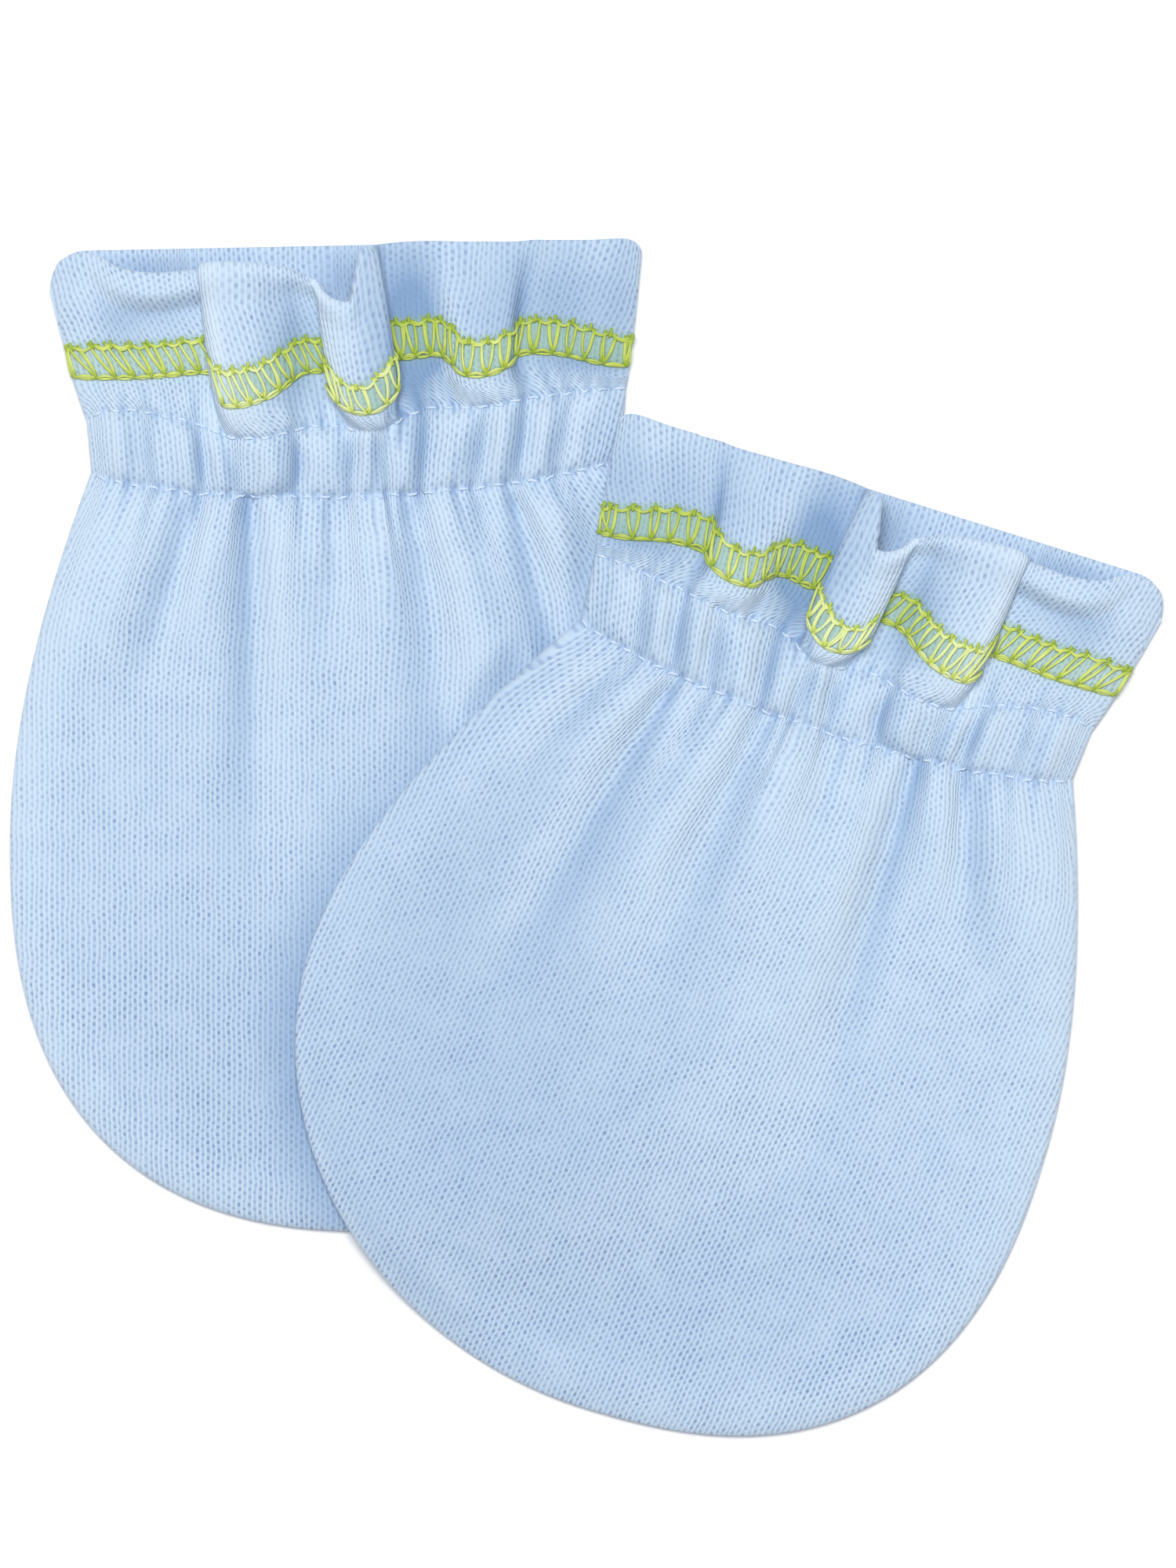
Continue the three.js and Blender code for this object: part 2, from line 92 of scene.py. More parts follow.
# The ruffle's waves from left to right: sx, sy on the upper wrist stitching, gx, gy, gz on the hem stitching, ex, ey,
# ez on the ruffle's edge, how far that edge rolls up, and how far down the roll reaches. Where gx or ex steps back,
# a wave leans over its neighbour.
GATHER_NAMES = ["sx", "sy", "gx", "gy", "gz", "ex", "ey", "ez", "lip", "reach"]
GATHERS = np.array([
    [-27.0, 5.0, -28.5, 9.5, 2.4, -30.7, 18.4, 2.4, 0, 0.1],
    [-25.4, 5.9, -26.6, 9.4, 2.5, -29.9, 21.0, 2.5, 0, 0.1],
    [-23.6, 6.0, -24.4, 9.4, 2.6, -27.6, 22.0, 2.6, 0.1, 0.12],
    [-21.6, 5.9, -22.6, 9.4, 2.6, -25.7, 21.6, 2.7, 0.8, 0.2],
    [-19.4, 5.5, -20.6, 9.5, 2.5, -23.6, 20.5, 2.7, 1.4, 0.22],
    [-17.2, 5.0, -18.4, 9.7, 2.5, -20.2, 20.0, 2.8, 1.6, 0.22],
    [-15.4, 4.4, -15.9, 9.9, 2.4, -17.2, 20.2, 2.9, 1.5, 0.21],
    [-14.0, 3.9, -13.3, 9.8, 2.4, -15.2, 20.4, 3.1, 1.2, 0.18],
    [-12.9, 3.5, -14.3, 8.6, 3.3, -15.6, 20.8, 3.9, 1.0, 0.15],
    [-11.2, 3.1, -12.8, 6.5, 4.9, -14.1, 21.1, 5.0, 0.7, 0.13],
    [-8.4, 3.2, -9.8, 6.8, 5.1, -10.2, 21.0, 5.2, 0.6, 0.12],
    [-6.0, 3.8, -7.3, 8.1, 4.3, -8.0, 20.8, 4.7, 0.6, 0.12],
    [-4.2, 4.3, -5.2, 9.7, 3.0, -6.2, 20.4, 4.2, 0.8, 0.12],
    [-2.6, 4.5, -3.2, 10.1, 2.5, -5.1, 19.8, 4.0, 0.8, 0.12],
    [-1.0, 4.4, -1.4, 10.0, 2.5, -4.2, 19.1, 4.1, 0.7, 0.12],
    [0.2, 4.1, -2.3, 8.6, 4.1, -3.3, 18.2, 5.0, 0.6, 0.12],
    [1.3, 3.9, -0.9, 6.5, 5.3, -1.7, 17.2, 5.9, 0.5, 0.12],
    [2.2, 3.8, 0.9, 5.75, 5.6, 0.0, 17.2, 6.4, 0.3, 0.12],
    [3.1, 3.95, 2.5, 5.9, 5.5, 0.6, 19.8, 6.4, 0.1, 0.1],
    [3.8, 4.3, 3.7, 6.7, 5.1, 1.4, 22.6, 6.0, 0, 0.1],
    [4.6, 4.7, 4.7, 8.3, 4.3, 2.7, 22.3, 4.9, 0, 0.1],
    [5.6, 5.4, 3.4, 10.9, 2.2, 3.0, 22.9, 2.5, 0, 0.1],
    [7.8, 6.2, 6.4, 11.5, 2.0, 5.4, 23.2, 2.3, 0, 0.1],
    [10.2, 6.3, 8.9, 11.75, 2.4, 8.4, 23.3, 2.5, 0, 0.1],
    [11.6, 6.3, 10.3, 10.9, 3.4, 10.4, 23.3, 2.7, 0, 0.1],
    [12.9, 6.3, 11.5, 9.75, 4.1, 12.0, 23.3, 2.7, 0, 0.1],
    [15.0, 6.6, 13.9, 9.7, 4.3, 14.2, 23.3, 2.8, 0, 0.1],
    [17.0, 7.0, 16.0, 10.6, 3.9, 16.6, 23.3, 2.6, 0, 0.1],
    [18.6, 7.3, 17.0, 11.75, 2.3, 18.6, 23.4, 2.5, 0, 0.1],
    [20.4, 7.5, 19.2, 12.0, 2.4, 20.2, 23.4, 2.5, 0, 0.1],
    [22.8, 7.8, 22.0, 11.7, 2.4, 23.8, 23.4, 2.5, 0, 0.1],
    [25.2, 8.1, 25.4, 10.9, 2.4, 28.3, 23.4, 2.5, 0, 0.1],
    [28.0, 8.3, 28.4, 10.6, 2.4, 29.6, 22.0, 2.4, 0, 0.1],
])
LAST = len(GATHERS) - 1

# How far the wales lean in the ruffle: x on the hem stitching, and the lean, which is to the left going up
RUFFLE_LEAN = [(-28.0, 0.15), (-12.0, 0.33), (3.0, 0.08), (12.0, -0.2), (28.0, -0.2)]

# The pleats between the two rows of wrist stitching: where each is, how far it leans and bows, how early it swells,
# its half width and its height (a hollow is negative)
WRIST_FOLDS = [
    (-25.9, 0.2, 0.0, 1.0, 0.9, -0.4),
    (-24.0, 0.0, 0.2, 1.3, 1.2, 0.6),
    (-20.8, 0.4, 0.2, 0.7, 1.8, -0.35),
    (-17.2, 0.4, 0.3, 0.8, 1.1, 0.75),
    (-15.3, 0.5, 0.2, 1.2, 0.9, -0.9),
    (-13.4, 0.5, 0.0, 1.4, 0.9, 0.7),
    (-11.6, 0.0, -0.4, 0.8, 1.3, -0.5),
    (-8.6, -0.6, 0.8, 1.4, 1.5, 1.3),
    (-5.9, -0.3, 0.6, 1.3, 0.8, -1.0),
    (-2.6, 0.2, 0.0, 0.8, 1.4, 0.65),
    (0.1, -0.2, 0.2, 0.7, 0.7, -0.8),
    (1.7, -0.4, 0.0, 1.6, 0.9, 0.3),
    (3.4, 0.9, 0.0, 0.6, 0.9, -0.6),
    (5.4, -0.2, 0.3, 1.7, 1.1, 0.8),
    (7.5, -0.5, 0.2, 1.0, 1.0, -0.7),
    (10.2, -0.7, 0.3, 0.7, 1.5, 0.7),
    (13.2, -0.8, 0.2, 1.2, 1.2, -0.65),
    (15.4, -0.6, 0.3, 0.9, 1.0, 0.75),
    (17.4, -0.5, 0.3, 1.1, 0.9, -0.9),
    (19.7, -0.8, 0.2, 0.8, 1.2, 0.75),
    (21.8, -0.9, 0.0, 1.3, 0.9, -0.4),
    (24.4, -1.4, 0.0, 0.7, 1.6, 0.3),
]

# The folds below the wrist: x at the wrist and at its end, length, half width at the wrist and at its end, height
HAND_FOLDS = [
    (-20.0, -28.0, 24, 2.0, 4.0, 0.8),
    (-15.2, -22.8, 24, 1.4, 2.8, -0.9),
    (-12.8, -17.0, 18, 1.5, 2.8, 0.9),
    (-10.1, -10.5, 48, 1.1, 4.2, -1.4),
    (-7.0, -5.5, 26, 1.6, 3.0, 0.7),
    (-3.6, -3.4, 12, 1.1, 1.9, 0.3),
    (-1.3, -2.2, 16, 0.9, 1.6, -0.5),
    (2.5, 3.5, 28, 2.8, 4.4, 0.6),
    (6.2, 11.0, 42, 1.5, 4.2, -1.1),
    (9.0, 19.0, 36, 1.6, 3.8, 0.8),
    (12.6, 14.5, 8, 0.9, 1.5, -0.6),
    (16.4, 26.5, 42, 1.4, 3.8, -1.4),
    (19.0, 26.0, 16, 1.5, 2.8, 0.8),
    (22.6, 29.0, 12, 1.0, 2.0, -0.5),
    (25.4, 33.0, 16, 1.5, 2.8, 0.5),
]

# Painted shade on the front panels where the amount is above 0, and painted highlight where it is below 0: x, y, half
# width, half length, amount
SHADES = [
    (6.2, 13.5, 3.1, 8.0, 1.3),
    (8.4, 11.0, 2.4, 1.4, 0.5),
    (25.0, 11.0, 6.0, 1.4, 0.5),
    (-22.0, 11.0, 7.0, 1.5, -0.3),
    (1.6, 4.6, 2.5, 1.3, -0.65),
    (-10.5, 4.8, 3.5, 1.4, -0.6),
    (14.2, 7.8, 2.6, 1.1, -0.35),
    (-6.6, 11.0, 3.0, 5.0, 0.45),
    (21.0, 16.0, 13.0, 7.0, 0.6),
    (-14.0, 12.0, 1.2, 8.5, -0.65),
    (-9.4, 20.5, 5.5, 0.9, -0.4),
    (-2.2, 17.9, 2.4, 1.2, -0.4),
    (3.2, 15.5, 0.8, 7.0, -0.25),
    (-2.3, 9.5, 0.9, 4.0, -0.35),
    (-20.5, 18.4, 4.5, 1.2, -0.2),
    (-20.5, 15.6, 4.5, 1.0, 0.15),
    (0.0, 0.5, 40.0, 3.5, 0.13),
    (-25.0, 14.5, 6.0, 5.0, 0.35),
    (12.0, -62.0, 38.0, 28.0, 0.3),
    (30.0, -30.0, 18.0, 24.0, 0.22),
]

# Painted shade on the back panel's inner face, which shows in the cuff's mouth, in the same columns
INSIDE_SHADES = [
    (-1.2, 19.0, 2.6, 3.0, 0.55),
    (-20.5, 20.5, 5.5, 1.2, 0.5),
    (6.0, 22.0, 5.0, 2.0, 0.2),
]

# The hand's outline, as in the solids
WRIST = {"left": (-26.5, -0.2), "right": (27.5, 1.5), "sag": 3.4, "sag_power": 0.6}
LEFT_SIDE = {"bend": [(-31.0, -12.0), (-34.8, -25.6)], "widest": (-34.8, -38.0), "power": 2.5}
RIGHT_SIDE = {"bend": [(33.6, -7.6), (45.1, -25.6)], "widest": (45.1, -40.0), "power": 2.0}
TIP = (3.2, -77.7)
SIDE_ENDS_AT = 0.5
WIDEST_AT = 0.55
HAND_LENGTH = 75.0

# How the two lie
UNDER = {"x": -23.9, "y": 37.5, "turn": 0.0, "size": 1.0, "mirrored": False, "grain": 0.0}
OVER = {"x": 24.9, "y": 13.4, "turn": -16.3, "size": 0.975, "mirrored": True, "grain": 0.14}
LIES_AT = 2.85
PRESSED_Z = 2.65
PRESS_REACH = 4.0
DRAPE_OUTSIDE = 13.0
DRAPE_INSIDE = 4.0

# The knit's repeat, across and along
WALE = 1.06
COURSE = 0.8

# Fineness of the meshes: front panels, back panels
FRONT_STEPS = (216, 66, 26, 92)
BACK_STEPS = (110, 40, 10, 60)


def smooth(start, end, value):
    t = np.clip((value - start) / (end - start), 0, 1)
    return t * t * (3 - 2 * t)


def mix(a, b, share):
    return a + (b - a) * share


def gather(name, column):
    """A column of the GATHERS table between its rows, by a Catmull-Rom spline."""
    values = GATHERS[:, GATHER_NAMES.index(name)]
    c = np.clip(column, 0, LAST)
    i = np.minimum(np.floor(c).astype(int), LAST - 1)
    t = c - i
    a, b, d, e = (values[np.clip(i + k, 0, LAST)] for k in (-1, 0, 1, 2))
    return b + 0.5 * t * (d - a + t * (2 * a - 5 * b + 4 * d - e + t * (3 * (b - d) + e - a)))


def ends(name):
    values = GATHERS[:, GATHER_NAMES.index(name)]
    return values[0], values[-1]


def through(first, second, third, middle, t):
    """A curve through three values at 0, middle and 1 that never swings past them."""
    before = (second - first) / middle
    after = (third - second) / (1 - middle)
    product = before * after
    total = np.where(np.abs(before + after) < 1e-9, 1, before + after)
    slope = np.where(product > 0, 2 * product / total, 0)
    low = t < middle
    start, end = np.where(low, first, second), np.where(low, second, third)
    span = np.where(low, middle, 1 - middle)
    s = np.where(low, t / middle, (t - middle) / (1 - middle))
    start_slope = np.where(low, 1.5 * before - 0.5 * slope, slope)
    end_slope = np.where(low, slope, 1.5 * after - 0.5 * slope)
    return ((2 * s**3 - 3 * s**2 + 1) * start + (s**3 - 2 * s**2 + s) * span * start_slope
            + (3 * s**2 - 2 * s**3) * end + (s**3 - s**2) * span * end_slope)


def wrist_share(column):
    sx = gather("sx", column)
    return (sx - GATHERS[0, 0]) / (GATHERS[-1, 0] - GATHERS[0, 0])


def wrist_point(column):
    share = wrist_share(column)
    sag = WRIST["sag"] * np.sin(math.pi * np.clip(share, 0, 1)) ** WRIST["sag_power"]
    (x0, y0), (x1, y1) = WRIST["left"], WRIST["right"]
    return np.stack([mix(x0, x1, share), mix(y0, y1, share) - sag])


def arc_point(side, share):
    angle = share * math.pi / 2
    x, y = side["widest"]
    power = 2 / side["power"]
    return np.stack([TIP[0] + (x - TIP[0]) * np.cos(angle) ** power, y + (TIP[1] - y) * np.sin(angle) ** power])


def side_point(side, wrist_end, share):
    t = np.clip(share / WIDEST_AT, 0, 1)
    corners = [wrist_end, *side["bend"], side["widest"]]
    weights = [(1 - t) ** 3, 3 * t * (1 - t) ** 2, 3 * t**2 * (1 - t), t**3]
    bend = np.stack([sum(w * p[k] for w, p in zip(weights, corners)) for k in (0, 1)])
    arc = arc_point(side, SIDE_ENDS_AT * np.clip((share - WIDEST_AT) / (1 - WIDEST_AT), 0, 1))
    return np.where(share > WIDEST_AT, arc, bend)


def bottom_point(share):
    turned = np.abs(2 * share - 1) ** 1.15
    arc_share = 1 - (1 - SIDE_ENDS_AT) * turned
    return np.where(share < 0.5, arc_point(LEFT_SIDE, arc_share), arc_point(RIGHT_SIDE, arc_share))


def hand_point(column, down):
    across = mix(wrist_share(column), column / LAST, smooth(0, 0.5, down))
    zero = 0 * column
    wrist_left, wrist_right = wrist_point(zero), wrist_point(zero + LAST)
    bottom_left, bottom_right = bottom_point(zero), bottom_point(zero + 1)
    left = side_point(LEFT_SIDE, wrist_left, down)
    right = side_point(RIGHT_SIDE, wrist_right, down)
    ruled = mix(wrist_point(column), bottom_point(across), down) + mix(left, right, across)
    return ruled - mix(mix(wrist_left, wrist_right, across), mix(bottom_left, bottom_right, across), down)


def back_edge_y(x):
    def drop(radius, inside):
        short = np.clip(radius - inside, 0, radius)
        return radius - np.sqrt(radius**2 - short**2)

    left, right = ends("ex")
    line = mix(BACK_EDGE["left_y"], BACK_EDGE["right_y"], (x - left) / (right - left))
    return line - drop(BACK_EDGE["left_corner"], x - left) - drop(BACK_EDGE["right_corner"], right - x)


def hides_seam(column):
    """1 where a wave's foot hides the upper row of wrist stitching, 0 elsewhere."""
    return smooth(5.3, 5.5, gather("gz", column))


def wave_foot(gz):
    """How much of a wave's height is left at the wrist stitching below it."""
    return WAVE_FOOT * np.clip(gz - 2.5, 0, None)


def cuff_point(column, row, flat):
    """Plan and height in the ruffle. The back panel is flat, with no waves."""
    v, middle = 1 - row, 1 - HEM_ROW
    if flat:
        share = wrist_share(column)
        sx, sy, gx, gy, ex = (mix(*ends(name), share) for name in ("sx", "sy", "gx", "gy", "ex"))
        x = through(sx, gx, ex, middle, v)
        y = through(sy, gy, back_edge_y(ex), middle, v)
        return np.stack([x, y, 0 * x])
    sx, gx, ex = (gather(name, column) for name in ("sx", "gx", "ex"))
    x = through(sx, gx, ex, middle, v)
    y = through(gather("sy", column), gather("gy", column), gather("ey", column), middle, v)
    gz = gather("gz", column)
    z = through(STITCH_Z + wave_foot(gz), gz, gather("ez", column), middle, v)
    lip, reach = np.clip(gather("lip", column), 0, None), gather("reach", column)
    rise = smooth(reach + LIP_STEP / 2, reach - LIP_STEP / 2, row) * (1 - 0.3 * smooth(reach / 2, 0, row))
    return np.stack([x, y, z + lip * rise])


def plan(column, row, flat):
    """Where a place on a panel lies in plan, and its height if it is in the ruffle."""
    column, row = np.broadcast_arrays(np.asarray(column, float), np.asarray(row, float))
    cuff = cuff_point(column, np.minimum(row, 1), flat)
    hand = hand_point(column, np.clip(row - 2, 0, 1))
    channel = mix(cuff[:2], wrist_point(column), np.clip(row - 1, 0, 1))
    place = np.where(row <= 1, cuff[:2], np.where(row >= 2, hand, channel))
    return place[0], place[1], cuff[2]


def side_line():
    """The sides and the tip, where the panels are sewn together, as a line of points."""
    rows = np.linspace(0, 3, 160)
    columns = np.linspace(0, LAST, 120)
    parts = [plan(0 * rows, rows, True), plan(columns, 3 + 0 * columns, True), plan(LAST + 0 * rows, rows[::-1], True)]
    return np.concatenate([np.stack(p[:2], 1) for p in parts])


def mouth_line():
    columns = np.linspace(LAST, 0, 100)
    return np.stack(plan(columns, 0 * columns, True)[:2], 1)


def distance_to_line(line, x, y, closed=False):
    """How far points lie from a line of points, and whether each is inside it."""
    start = line
    end = np.roll(line, -1, axis=0)
    if not closed:
        start, end = start[:-1], end[:-1]
    step = end - start
    length2 = (step**2).sum(1) + 1e-12
    shape = np.shape(x)
    x, y = np.ravel(x), np.ravel(y)
    nearest, inside = np.empty(len(x)), np.zeros(len(x), bool)
    for i in range(0, len(x), 4000):
        px, py = x[i:i + 4000, None], y[i:i + 4000, None]
        t = np.clip(((px - start[:, 0]) * step[:, 0] + (py - start[:, 1]) * step[:, 1]) / length2, 0, 1)
        nearest[i:i + 4000] = np.hypot(px - start[:, 0] - t * step[:, 0], py - start[:, 1] - t * step[:, 1]).min(1)
        crosses = (start[:, 1] > py) != (end[:, 1] > py)
        slope = step[:, 0] / np.where(step[:, 1] == 0, 1e-12, step[:, 1])
        inside[i:i + 4000] = (crosses & (px < start[:, 0] + (py - start[:, 1]) * slope)).sum(1) % 2 == 1
    return nearest.reshape(shape), inside.reshape(shape)


SIDES = side_line()
OUTLINE = np.concatenate([SIDES, mouth_line()])


def inside_outline(x, y):
    """How far inside a mitten's outline points lie, in its own frame. Outside it is negative."""
    nearest, inside = distance_to_line(OUTLINE, x, y, closed=True)
    return np.where(inside, nearest, -nearest)


def to_pair(lay, x, y):
    """A mitten's own plan to the pair's."""
    if lay["mirrored"]:
        x = -x
    turn = math.radians(lay["turn"])
    s = lay["size"]
    return (lay["x"] + s * (x * math.cos(turn) - y * math.sin(turn)),
            lay["y"] + s * (x * math.sin(turn) + y * math.cos(turn)))


def from_pair(lay, x, y):
    turn = math.radians(lay["turn"])
    dx, dy = (x - lay["x"]) / lay["size"], (y - lay["y"]) / lay["size"]
    x, y = dx * math.cos(turn) + dy * math.sin(turn), -dx * math.sin(turn) + dy * math.cos(turn)
    return (-x if lay["mirrored"] else x), y


def pair_shift():
    """The solids are centred on the origin, so their box says how far this plan is off it."""
    low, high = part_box("under_mitten_lower_panel")
    x, y = to_pair(UNDER, OUTLINE[:, 0], OUTLINE[:, 1])
    return ((low.x + high.x) / 2 / MM - (x.min() + x.max()) / 2, (low.y + high.y) / 2 / MM - (y.min() + y.max()) / 2)


def wale_place():
    """How far across the cloth each column is, measured over the waves of the ruffle."""
    columns = np.linspace(0, LAST, 2401)
    rows = (0.15, 0.4, HEM_ROW)
    steps = 0
    for row in rows:
        x, _, z = plan(columns, row + 0 * columns, False)
        steps = steps + np.hypot(np.diff(x), np.diff(z)) / len(rows)
    across = np.concatenate([[0], np.cumsum(steps)])
    return columns, across - np.interp(0, gather("sx", columns), across)


def wrist_place():
    """How far across the cloth each place on the wrist is. The pleats' hollows hide what is gathered in."""
    x = np.linspace(*ends("sx"), 1200)
    hidden = sum(np.exp(-((x - fold[0]) / HOLLOW_WIDTH) ** 2) for fold in WRIST_FOLDS if fold[5] < 0)
    share = np.cumsum(hidden) / hidden.sum()
    spare = WALE_PLACES[-1] - WALE_PLACES[0] - (x[-1] - x[0])
    across = x + spare * share
    return x, across - np.interp(0, x, across)


HOLLOW_WIDTH = 0.55
WALE_COLUMNS, WALE_PLACES = wale_place()
WRIST_X, WRIST_PLACES = wrist_place()


def cut_place(column, row, x, y, grain):
    """A place on the cut cloth, in millimetres across and along it."""
    down = np.clip(row - 2, 0, 1)
    lean = np.interp(gather("gx", column), *np.transpose(RUFFLE_LEAN))
    ruffle = np.interp(column, WALE_COLUMNS, WALE_PLACES)
    ruffle = ruffle + lean * np.clip(HEM_TOP_ROW - row, 0, LEAN_ROWS) * CUFF_LENGTH
    pleat_lean = np.interp(gather("sx", column), [fold[0] for fold in WRIST_FOLDS], [fold[1] for fold in WRIST_FOLDS])
    wrist = np.interp(gather("sx", column) - pleat_lean * (np.clip(row - 1, 0, 1) - 0.5), WRIST_X, WRIST_PLACES)
    gathered = mix(ruffle, wrist, smooth(0.8, 1, row))
    across = mix(gathered, x + grain * (y + 2), smooth(0, 0.32, down))
    wrist_y = wrist_point(column)[1]
    cuff = np.minimum(row, 1) * CUFF_LENGTH + np.clip(row - 1, 0, 1) * CHANNEL_LENGTH
    level = mix(wrist_y, -2.0, smooth(0, 0.5, down))
    hand = np.where(row > 2, level - y, 0)
    return across, cuff + hand


def hand_folds(x, y):
    down = -2 - y
    height = 0 * x
    for start, end, length, width, end_width, size in HAND_FOLDS:
        share = np.clip(down / length, 0, 1)
        off = (x - mix(start, end, share)) / mix(width, end_width, share)
        along = smooth(-1, 2.5, down) * (1 - smooth(0.35, 1, share))
        height = height + size * along * np.exp(-off**2)
    return height


def wrist_folds(column, row):
    """The pleats of the gathered wrist, which fade out just past its two rows of stitching."""
    v = row - 1
    inner = np.clip(v, 0, 1)
    near = smooth(-0.14, 0.05, v) * smooth(1.06, 0.95, v)
    place = gather("sx", column)
    height = 0 * place
    for at, lean, bow, peak, width, size in WRIST_FOLDS:
        swell = np.sin(math.pi * inner**peak)
        off = place - at - lean * (v - 0.5) - bow * swell
        height = height + size * (0.35 + 0.65 * swell) * np.exp(-(off / (width * (0.75 + 0.25 * swell))) ** 2)
    return height * near


def puckers(column, row):
    """Small puckers that run a few millimetres off each row of wrist stitching."""
    across = np.interp(column, WALE_COLUMNS, WALE_PLACES)
    uneven = np.sin(2 * math.pi * (across / 2.9 + 0.35 * np.sin(across / 4.7)))
    uneven = uneven + 0.5 * np.sin(2 * math.pi * (across / 1.9 + 0.3 * np.sin(across / 6.1 + 1)))
    above = smooth(0.72, 0.95, row) * (row <= 1)
    below = (1 - smooth(0.02, 0.1, row - 2)) * (row >= 2)
    between = 0.4 * ((row > 1) & (row < 2))
    return 0.13 * uneven * (above + below + between)


def seam_places(row):
    """Columns along a row of wrist stitching, and how far along it each lies."""
    columns = np.linspace(0, LAST, 1200)
    x, y, _ = plan(columns, row + 0 * columns, False)
    return columns, np.concatenate([[0], np.cumsum(np.hypot(np.diff(x), np.diff(y)))])


RUNNING_PITCH = 1.76
RUNNING_STITCH = 1.15
RUNNING_START = 0.8
SEAM_PLACES = {1: seam_places(1.0), 2: seam_places(2.0)}


def dents(column, row):
    """The dimples between the running stitches, where the thread goes through the cloth."""
    height = 0 * row
    for seam, (columns, along) in SEAM_PLACES.items():
        place = (np.interp(column, columns, along) - RUNNING_START + (RUNNING_PITCH - RUNNING_STITCH) / 2) / RUNNING_PITCH
        near = np.exp(-((row - seam) / np.where(row < seam, 0.04 if seam == 1 else 0.09, 0.09 if seam == 1 else 0.01)) ** 2)
        near = near * (1 - hides_seam(column) * (seam == 1))
        height = height + near * np.exp(-((place - np.round(place)) / 0.2) ** 2)
    return 0.38 * height


def stitch_grooves(row):
    """How far each row of stitching pulls the cloth in."""
    depth = 0 * row
    for at, above, below, size in STITCH_ROWS:
        depth = depth + size * np.exp(-((row - at) / np.where(row < at, above, below)) ** 2)
    return depth


def front_height(column, row, x, y, ruffle_z):
    """The front panel's outer face over what the mitten lies on."""
    v = np.clip(row - 1, 0, 1)
    channel = STITCH_Z + np.sin(math.pi * v) ** 0.7 * CHANNEL_Z + wave_foot(gather("gz", column)) * (1 - v) ** 2
    down = np.clip(row - 2, 0, 1)
    puff = PUFF_Z * smooth(0, 0.08, down) * (1 - smooth(0.12, 0.5, down))
    hand = mix(STITCH_Z, PALM_Z, smooth(0, 0.1, down)) + puff + hand_folds(x, y)
    hem = HEM * smooth(HEM_ROW + 0.02, HEM_ROW - 0.02, row)
    z = np.where(row <= 1, ruffle_z + hem, np.where(row >= 2, hand, channel))
    return z + puckers(column, row) + wrist_folds(column, row) - stitch_grooves(row) - dents(column, row)


def ground(lay, x, y):
    """The height of what a mitten lies on: the floor, or the first mitten and the slope beside it."""
    if lay is UNDER:
        return 0 * x
    inside = inside_outline(*from_pair(UNDER, x, y)) * UNDER["size"]
    return LIES_AT * smooth(-DRAPE_OUTSIDE, DRAPE_INSIDE, inside)


def side_rounding(x, y):
    """0 on the seam line, 1 where the cloth has its full height."""
    distance = distance_to_line(SIDES, x, y)[0]
    turn = 1 - np.clip(distance / SIDE_FOLD, 0, 1)
    rise = 1 - np.clip(distance / SIDE_ROUND, 0, 1)
    return FOLD_SHARE * np.sqrt(1 - turn**2) + (1 - FOLD_SHARE) * (1 - rise**2)


def front_face(lay, column, row):
    x, y, ruffle_z = plan(column, row, False)
    column, row = np.broadcast_to(column, x.shape), np.broadcast_to(row, x.shape)
    z = front_height(column, row, x, y, ruffle_z)
    z = mix(SEAM_Z + SEAM_PARTING, z, side_rounding(x, y))
    px, py = to_pair(lay, x, y)
    if lay is UNDER:
        pressed = smooth(-PRESS_REACH, 0, inside_outline(*from_pair(OVER, px, py)) * OVER["size"])
        z = mix(z, np.minimum(z, PRESSED_Z), pressed)
    return np.stack([px, py, z + ground(lay, px, py)], -1)


def back_underside(lay, column, row):
    x, y, _ = plan(column, row, True)
    px, py = to_pair(lay, x, y)
    row = np.broadcast_to(row, x.shape)
    z = mix(SEAM_Z - SEAM_PARTING, REST_Z, side_rounding(x, y)) + 0.5 * stitch_grooves(row)
    return np.stack([px, py, z + ground(lay, px, py)], -1)


def outward(face, lay, column, row):
    """A face's normal at a place, up for the front panel and down for the back one."""
    step_c, step_r = 0.04, 0.004
    across = (face(lay, np.clip(column + step_c, 0, LAST), row) - face(lay, np.clip(column - step_c, 0, LAST), row))
    down = (face(lay, column, np.clip(row + step_r, 0, 3)) - face(lay, column, np.clip(row - step_r, 0, 3)))
    normal = np.cross(down, across)
    normal /= np.linalg.norm(normal, axis=-1, keepdims=True) + 1e-12
    up = face is front_face
    return normal if up != lay["mirrored"] else -normal


SHIFT = pair_shift()
INSIDE_SHADE = 0.04  # painted shade on what shows of the back panel's inner face


def grid_places(steps):
    """Columns and rows of a panel's mesh, closest at the seams, at the hem and in the gathers."""
    across, cuff, channel, hand = steps
    edge = np.array([0, 0.02, 0.05, 0.1, 0.17, 0.26, 0.37])
    columns = np.concatenate([edge, np.linspace(0.5, LAST - 0.5, across), LAST - edge[::-1]])
    hem_edge = np.array([0, 0.004, 0.01, 0.018, 0.028])
    rows = np.concatenate([
        hem_edge,
        np.linspace(0.042, 1, cuff),
        np.linspace(1, 2, channel)[1:],
        2 + np.linspace(0, 1, hand)[1:-1] ** 1.15 * 0.985,
        3 - np.array([0.011, 0.007, 0.004, 0.002, 0.0008, 0]),
    ])
    return columns, rows


def grid_normals(points):
    normal = np.cross(np.gradient(points, axis=0), np.gradient(points, axis=1))
    return normal / (np.linalg.norm(normal, axis=-1, keepdims=True) + 1e-12)


def hem_edge_share(row):
    """How much of its thickness the cloth still has near the folded cuff edge."""
    half = 0.55
    near = np.clip(row * CUFF_LENGTH / half, 0, 1)
    return np.sqrt(np.clip(1 - (1 - near) ** 2, 0, 1))


